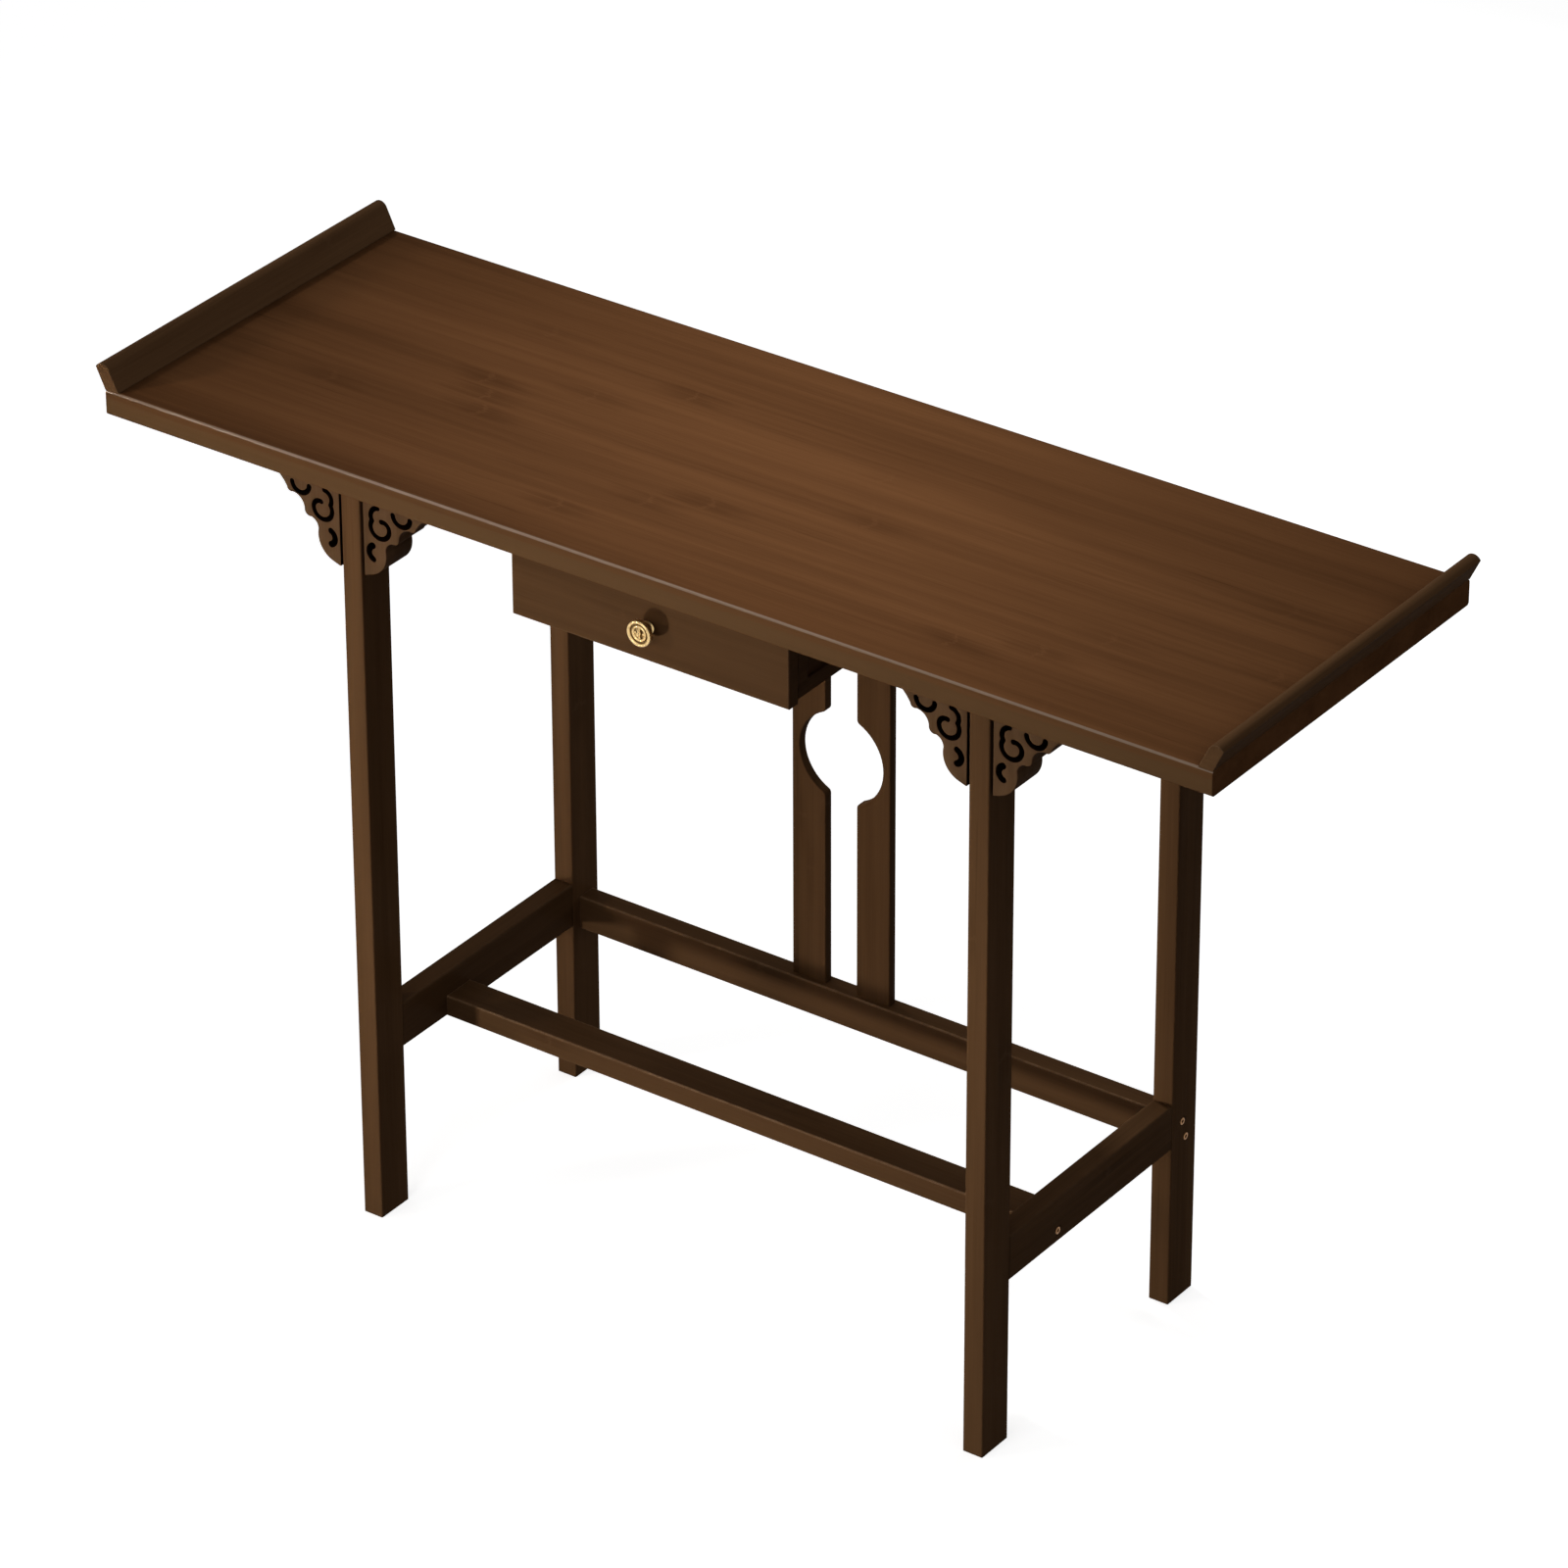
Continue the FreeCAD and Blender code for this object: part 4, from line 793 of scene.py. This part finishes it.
def petal_tree():
    """The tree that sets one petal out on a circle."""
    tree, start, end = geometry_tree(
        "petal_ring",
        [
            ("Petals", "NodeSocketInt"),
            ("Ring Radius", NUMBER),
            ("Petal Size", VECTOR),
            ("Finish", "NodeSocketMaterial"),
        ],
    )
    ring_inputs = {"Vertices": start["Petals"], "Radius": start["Ring Radius"]}
    ring = add_node(tree, "GeometryNodeMeshCircle", ring_inputs).outputs["Mesh"]
    ball = add_node(tree, "GeometryNodeMeshUVSphere", BALL).outputs["Mesh"]
    place = add_node(tree, "GeometryNodeInputPosition").outputs[0]
    axes = add_node(tree, "ShaderNodeSeparateXYZ", {0: place}).outputs
    pinch = calc(tree, "SUBTRACT", 1.0, calc(tree, "MULTIPLY", axes[0], axes[0]))
    breadth = calc(tree, "MULTIPLY_ADD", pinch, LEAF_SWELL, LEAF_TIP)
    narrow = calc(tree, "MULTIPLY", axes[1], breadth)
    leaf_place = add_node(tree, "ShaderNodeCombineXYZ", {0: axes[0], 1: narrow, 2: axes[2]})
    leaf = add_node(
        tree,
        "GeometryNodeSetPosition",
        {"Geometry": ball, "Position": leaf_place.outputs[0]},
    ).outputs[0]
    outward = add_node(
        tree, "FunctionNodeAlignRotationToVector", {"Vector": place}, axis="X"
    ).outputs[0]
    set_out = add_node(
        tree,
        "GeometryNodeInstanceOnPoints",
        {"Points": ring, "Instance": leaf, "Rotation": outward, "Scale": start["Petal Size"]},
    ).outputs[0]
    solid = add_node(tree, "GeometryNodeRealizeInstances", {0: set_out}).outputs[0]
    smooth = add_node(tree, "GeometryNodeSetShadeSmooth", {0: solid}).outputs[0]
    dressed_petals = add_node(
        tree, "GeometryNodeSetMaterial", {"Geometry": smooth, "Material": start["Finish"]}
    )
    tree.links.new(dressed_petals.outputs[0], end[0])
    return tree


petal_ring = petal_tree()


def petals(name, values, width=1.0):
    """A ring of petals laid in the knob's dish, facing the front."""
    piece = bpy.data.objects.new(name, bpy.data.meshes.new(name))
    scene.collection.objects.link(piece)
    run_tree(piece, petal_ring, {**values, "Finish": brass})
    in_dish = Matrix.Translation(knob_middle + Vector((0.0, MEDALLION_DEPTH, 0.0)))
    piece.data.transform(in_dish @ FACING_FRONT @ Matrix.Diagonal((width, 1.0, 1.0, 1.0)))
    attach(piece, "drawer")
    return piece


outer_petals = petals(
    "knob_petals", {"Petals": 4, "Ring Radius": 0.0044, "Petal Size": (0.0013, 0.0016, 0.0012)}
)
flower_heart = petals(
    "knob_flower_heart",
    {"Petals": 6, "Ring Radius": 0.0021, "Petal Size": (0.0022, 0.0016, 0.0016)},
    width=0.42,
)
print("petals:", len(outer_petals.data.polygons) + len(flower_heart.data.polygons), "faces")

# %% [markdown]
# ## Bolt heads
# Flat copper-plated bolts with a hexagon socket draw the stretchers to the legs, each sunk in its
# own counterbore so that a thin dark ring shows round the head. One bolt is made with care from
# rings of points: the socket's rings follow a hexagon and the rest are round.

# %% One bolt
BOLT_HEAD = 0.0037
BOLT_SHANK = 0.0028
BOLT_SIDES = 48
BOLT_CREASE = math.radians(40.0)
TIP_LENGTH = 0.001
TIP_TAPER = 0.0008
SOCKET_FLAT = 0.0016
SOCKET_CHAMFER = 0.00025
# Depths below the counterbore's mouth
SOCKET_FLOOR = 0.0014
SOCKET_EDGE = 0.0004
HEAD_FACE = 0.00015
HEAD_SHOULDER = 0.0003
HEAD_RIM = 0.0006
HEAD_UNDERSIDE = 0.0019
# How far the head's face and shoulder stand back from its rim
FACE_INSET = 0.0005
SHOULDER_INSET = 0.00015


def hexagon_reach(turn):
    """How far the side of the socket lies from the bolt's axis in one direction."""
    return SOCKET_FLAT / math.cos((turn % (math.pi / 3)) - math.pi / 6)


def bolt_rings(length):
    """Rings of the bolt from the socket's floor over the head to the end of the shank."""
    turns = [math.tau * step / BOLT_SIDES for step in range(BOLT_SIDES)]
    socket = [hexagon_reach(turn) for turn in turns]
    for depth, widen in ((SOCKET_FLOOR, 0.0), (SOCKET_EDGE, 0.0), (HEAD_FACE, SOCKET_CHAMFER)):
        yield -depth, [reach + widen for reach in socket], turns
    for depth, radius in (
        (HEAD_FACE, BOLT_HEAD - FACE_INSET),
        (HEAD_SHOULDER, BOLT_HEAD - SHOULDER_INSET),
        (HEAD_RIM, BOLT_HEAD),
        (HEAD_UNDERSIDE, BOLT_HEAD),
        (HEAD_UNDERSIDE, BOLT_SHANK),
        (length - TIP_LENGTH, BOLT_SHANK),
        (length, BOLT_SHANK - TIP_TAPER),
    ):
        yield -depth, [radius] * BOLT_SIDES, turns


def make_bolt(length):
    """A flat-headed machine bolt along the first axis, its head just below the origin."""
    mesh = bpy.data.meshes.new("bolt")
    shape = bmesh.new()
    rings = []
    for depth, reaches, turns in bolt_rings(length):
        rings.append([
            shape.verts.new((depth, reach * math.cos(turn), reach * math.sin(turn)))
            for reach, turn in zip(reaches, turns)
        ])
    for near, far in zip(rings, rings[1:]):
        for step in range(BOLT_SIDES):
            after = (step + 1) % BOLT_SIDES
            shape.faces.new((near[step], near[after], far[after], far[step]))
    shape.faces.new(rings[0])
    shape.faces.new(rings[-1])
    bmesh.ops.recalc_face_normals(shape, faces=shape.faces)
    shape.to_mesh(mesh)
    shape.free()
    mesh.shade_smooth()
    mesh.set_sharp_from_angle(angle=BOLT_CREASE)
    return bpy.data.objects.new("bolt", mesh)


bolt_low, bolt_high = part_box("stretcher_bolts")
print("bolt box:", [round(x, 4) for x in bolt_high - bolt_low])

# %% [markdown]
# Geometry Nodes then sets a copy at each place, turned to face out of its own side of the table.
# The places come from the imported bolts, which share one node, so its separate solids are found
# first by walking along their edges.

# %% Bolts set out
def solid_islands(node):
    """The lowest and highest corners of every separate solid in a node."""
    shape = bmesh.new()
    shape.from_mesh(frame["nodes"][node].data)
    bmesh.ops.remove_doubles(shape, verts=shape.verts, dist=SAME_POINT)
    unseen = set(shape.verts)
    found = []
    while unseen:
        island = set()
        waiting = [unseen.pop()]
        while waiting:
            point = waiting.pop()
            island.add(point)
            for link in point.link_edges:
                other = link.other_vert(point)
                if other in unseen:
                    unseen.discard(other)
                    waiting.append(other)
        corners = [point.co for point in island]
        low = Vector(min(c[axis] for c in corners) for axis in range(3))
        high = Vector(max(c[axis] for c in corners) for axis in range(3))
        found.append((low, high))
    shape.free()
    return found


def bolt_tree():
    """The tree that sets a bolt at each point, turned round on the left side."""
    tree, start, end = geometry_tree(
        "bolts_set_out", [("Bolt", "NodeSocketObject"), ("Finish", "NodeSocketMaterial")]
    )
    bolt = add_node(tree, "GeometryNodeObjectInfo", {"Object": start["Bolt"]}).outputs["Geometry"]
    place = add_node(tree, "GeometryNodeInputPosition").outputs[0]
    along = add_node(tree, "ShaderNodeSeparateXYZ", {0: place}).outputs[0]
    on_left = calc(tree, "LESS_THAN", along, 0.0)
    half_turn = calc(tree, "MULTIPLY", on_left, math.pi)
    turn = add_node(tree, "ShaderNodeCombineXYZ", {2: half_turn}).outputs[0]
    set_out = add_node(
        tree,
        "GeometryNodeInstanceOnPoints",
        {"Points": start["Geometry"], "Instance": bolt, "Rotation": turn},
    ).outputs[0]
    solid = add_node(tree, "GeometryNodeRealizeInstances", {0: set_out}).outputs[0]
    finished = add_node(
        tree, "GeometryNodeSetMaterial", {"Geometry": solid, "Material": start["Finish"]}
    )
    tree.links.new(finished.outputs[0], end[0])
    return tree


bolt_places = []
bolt_length = 0.0
for low, high in solid_islands("stretcher_bolts"):
    face = high.x if high.x > 0 else low.x
    bolt_places.append((face, (low.y + high.y) / 2, (low.z + high.z) / 2))
    bolt_length = high.x - low.x
bolt_points = bpy.data.meshes.new("bolts")
bolt_points.from_pydata(bolt_places, [], [])
bolts = bpy.data.objects.new("bolts", bolt_points)
scene.collection.objects.link(bolts)
one_bolt = make_bolt(bolt_length)
run_tree(bolts, bolt_tree(), {"Bolt": one_bolt, "Finish": copper})
bpy.data.objects.remove(one_bolt)
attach(bolts, "table_frame")
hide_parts("stretcher_bolts")
print("bolts:", len(bolt_places), "of", round(bolt_length * 1000, 1), "mm,",
      len(bolts.data.polygons), "faces")

# %% [markdown]
# ## Floor and light
# A product photograph has a seamless pale floor. This one is white to the camera and to
# reflections, but gives the table little light, which keeps the table's sides dark as they are in
# the photograph.

# %% Floor
FLOOR_RADIUS = 40.0
FLOOR_GLOW = 0.74
FLOOR_SEEN = (0.92, 0.92, 0.92, 1.0)
FLOOR_LIT = (0.22, 0.20, 0.18, 1.0)


def seen_rays(tree):
    """1 for rays of the camera and of reflections, 0 for those that carry light."""
    rays = add_node(tree, "ShaderNodeLightPath").outputs
    seen = calc(tree, "MAXIMUM", rays["Is Camera Ray"], rays["Is Glossy Ray"])
    return calc(tree, "MAXIMUM", seen, rays["Is Transmission Ray"])


def floor_finish():
    """A floor that looks white and sends back little light."""
    finish = bpy.data.materials.new("pale_floor")
    finish.use_nodes = True
    tree = finish.node_tree
    tree.nodes.clear()
    out = add_node(tree, "ShaderNodeOutputMaterial")
    pale = add_node(tree, "ShaderNodeBsdfDiffuse", {"Color": FLOOR_SEEN})
    glow = add_node(tree, "ShaderNodeEmission", {"Strength": FLOOR_GLOW})
    lifted = add_node(tree, "ShaderNodeAddShader", {0: pale.outputs[0], 1: glow.outputs[0]})
    dim = add_node(tree, "ShaderNodeBsdfDiffuse", {"Color": FLOOR_LIT})
    shown = add_node(
        tree,
        "ShaderNodeMixShader",
        {0: seen_rays(tree), 1: dim.outputs[0], 2: lifted.outputs[0]},
    )
    tree.links.new(shown.outputs[0], out.inputs["Surface"])
    return finish


floor_mesh = bpy.data.meshes.new("floor")
shape = bmesh.new()
bmesh.ops.create_circle(shape, cap_ends=True, radius=FLOOR_RADIUS, segments=96)
shape.to_mesh(floor_mesh)
shape.free()
floor = bpy.data.objects.new("floor", floor_mesh)
floor.data.materials.append(floor_finish())
scene.collection.objects.link(floor)
floor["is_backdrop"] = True
print("floor", FLOOR_RADIUS, "m")

# %% [markdown]
# The room is treated like the floor, and lamps do the rest. One lamp hangs high behind the left
# end, with a grid in front that keeps most of its light on the middle of the top. A small lamp
# low at the front left lights the legs and the drawer from the level of the floor, which leaves
# the carving's hollows dark and throws the knob's round shadow up to the right. A weak warm one
# further left draws the bright line along the front edge. A broad lamp in front fills the shadows
# between them, and another behind does so for a camera at the back.

# %% World and lamps
AMBIENT = 0.26
WARM = (1.0, 0.88, 0.76)


def studio_world():
    """A dim room that is white where the camera or a reflection looks past the floor."""
    world = bpy.data.worlds.new("studio")
    world.use_nodes = True
    tree = world.node_tree
    sky = tree.nodes["Background"].inputs
    sky["Color"].default_value = (1.0, 1.0, 1.0, 1.0)
    tree.links.new(remap(tree, seen_rays(tree), 0.0, 1.0, AMBIENT, 1.0), sky["Strength"])
    return world


def soft_lamp(name, place, target, size, watts, spread=180.0, colour=(1.0, 1.0, 1.0)):
    """A square lamp that faces a point of the table, with a grid if its spread is small."""
    light = bpy.data.lights.new(name, "AREA")
    light.color = colour
    light.size = size
    light.energy = watts
    light.spread = math.radians(spread)
    lamp = bpy.data.objects.new(name, light)
    lamp.location = place
    way = Vector(target) - Vector(place)
    lamp.rotation_euler = way.to_track_quat("-Z", "Y").to_euler()
    lamp.visible_camera = False
    scene.collection.objects.link(lamp)
    return lamp


scene.world = studio_world()
soft_lamp(
    "top_lamp", (-2.2, 0.9, 2.9), (0.10, -0.05, 0.8), size=0.35, watts=1.65, spread=20.0
)
low_lamp = soft_lamp(
    "low_lamp", (-0.75, -1.4, 0.05), (0.34, -0.15, 0.5), size=0.09, watts=5.0, spread=90.0
)
low_lamp.visible_glossy = False
soft_lamp(
    "edge_lamp",
    (-2.25, -2.55, 1.45),
    (-0.6, -0.2, 0.8),
    size=0.3,
    watts=1.3,
    spread=30.0,
    colour=WARM,
)
soft_lamp("back_lamp", (0.0, 2.6, 0.8), (0.0, 0.0, 0.4), size=0.9, watts=7.0)
soft_lamp("front_lamp", (0.1, -2.4, 1.6), (0.0, 0.0, 0.3), size=0.9, watts=10.3)

# %% [markdown]
# ## Size
# The box of the dressed table is measured.

# %% Finish
low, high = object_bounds()
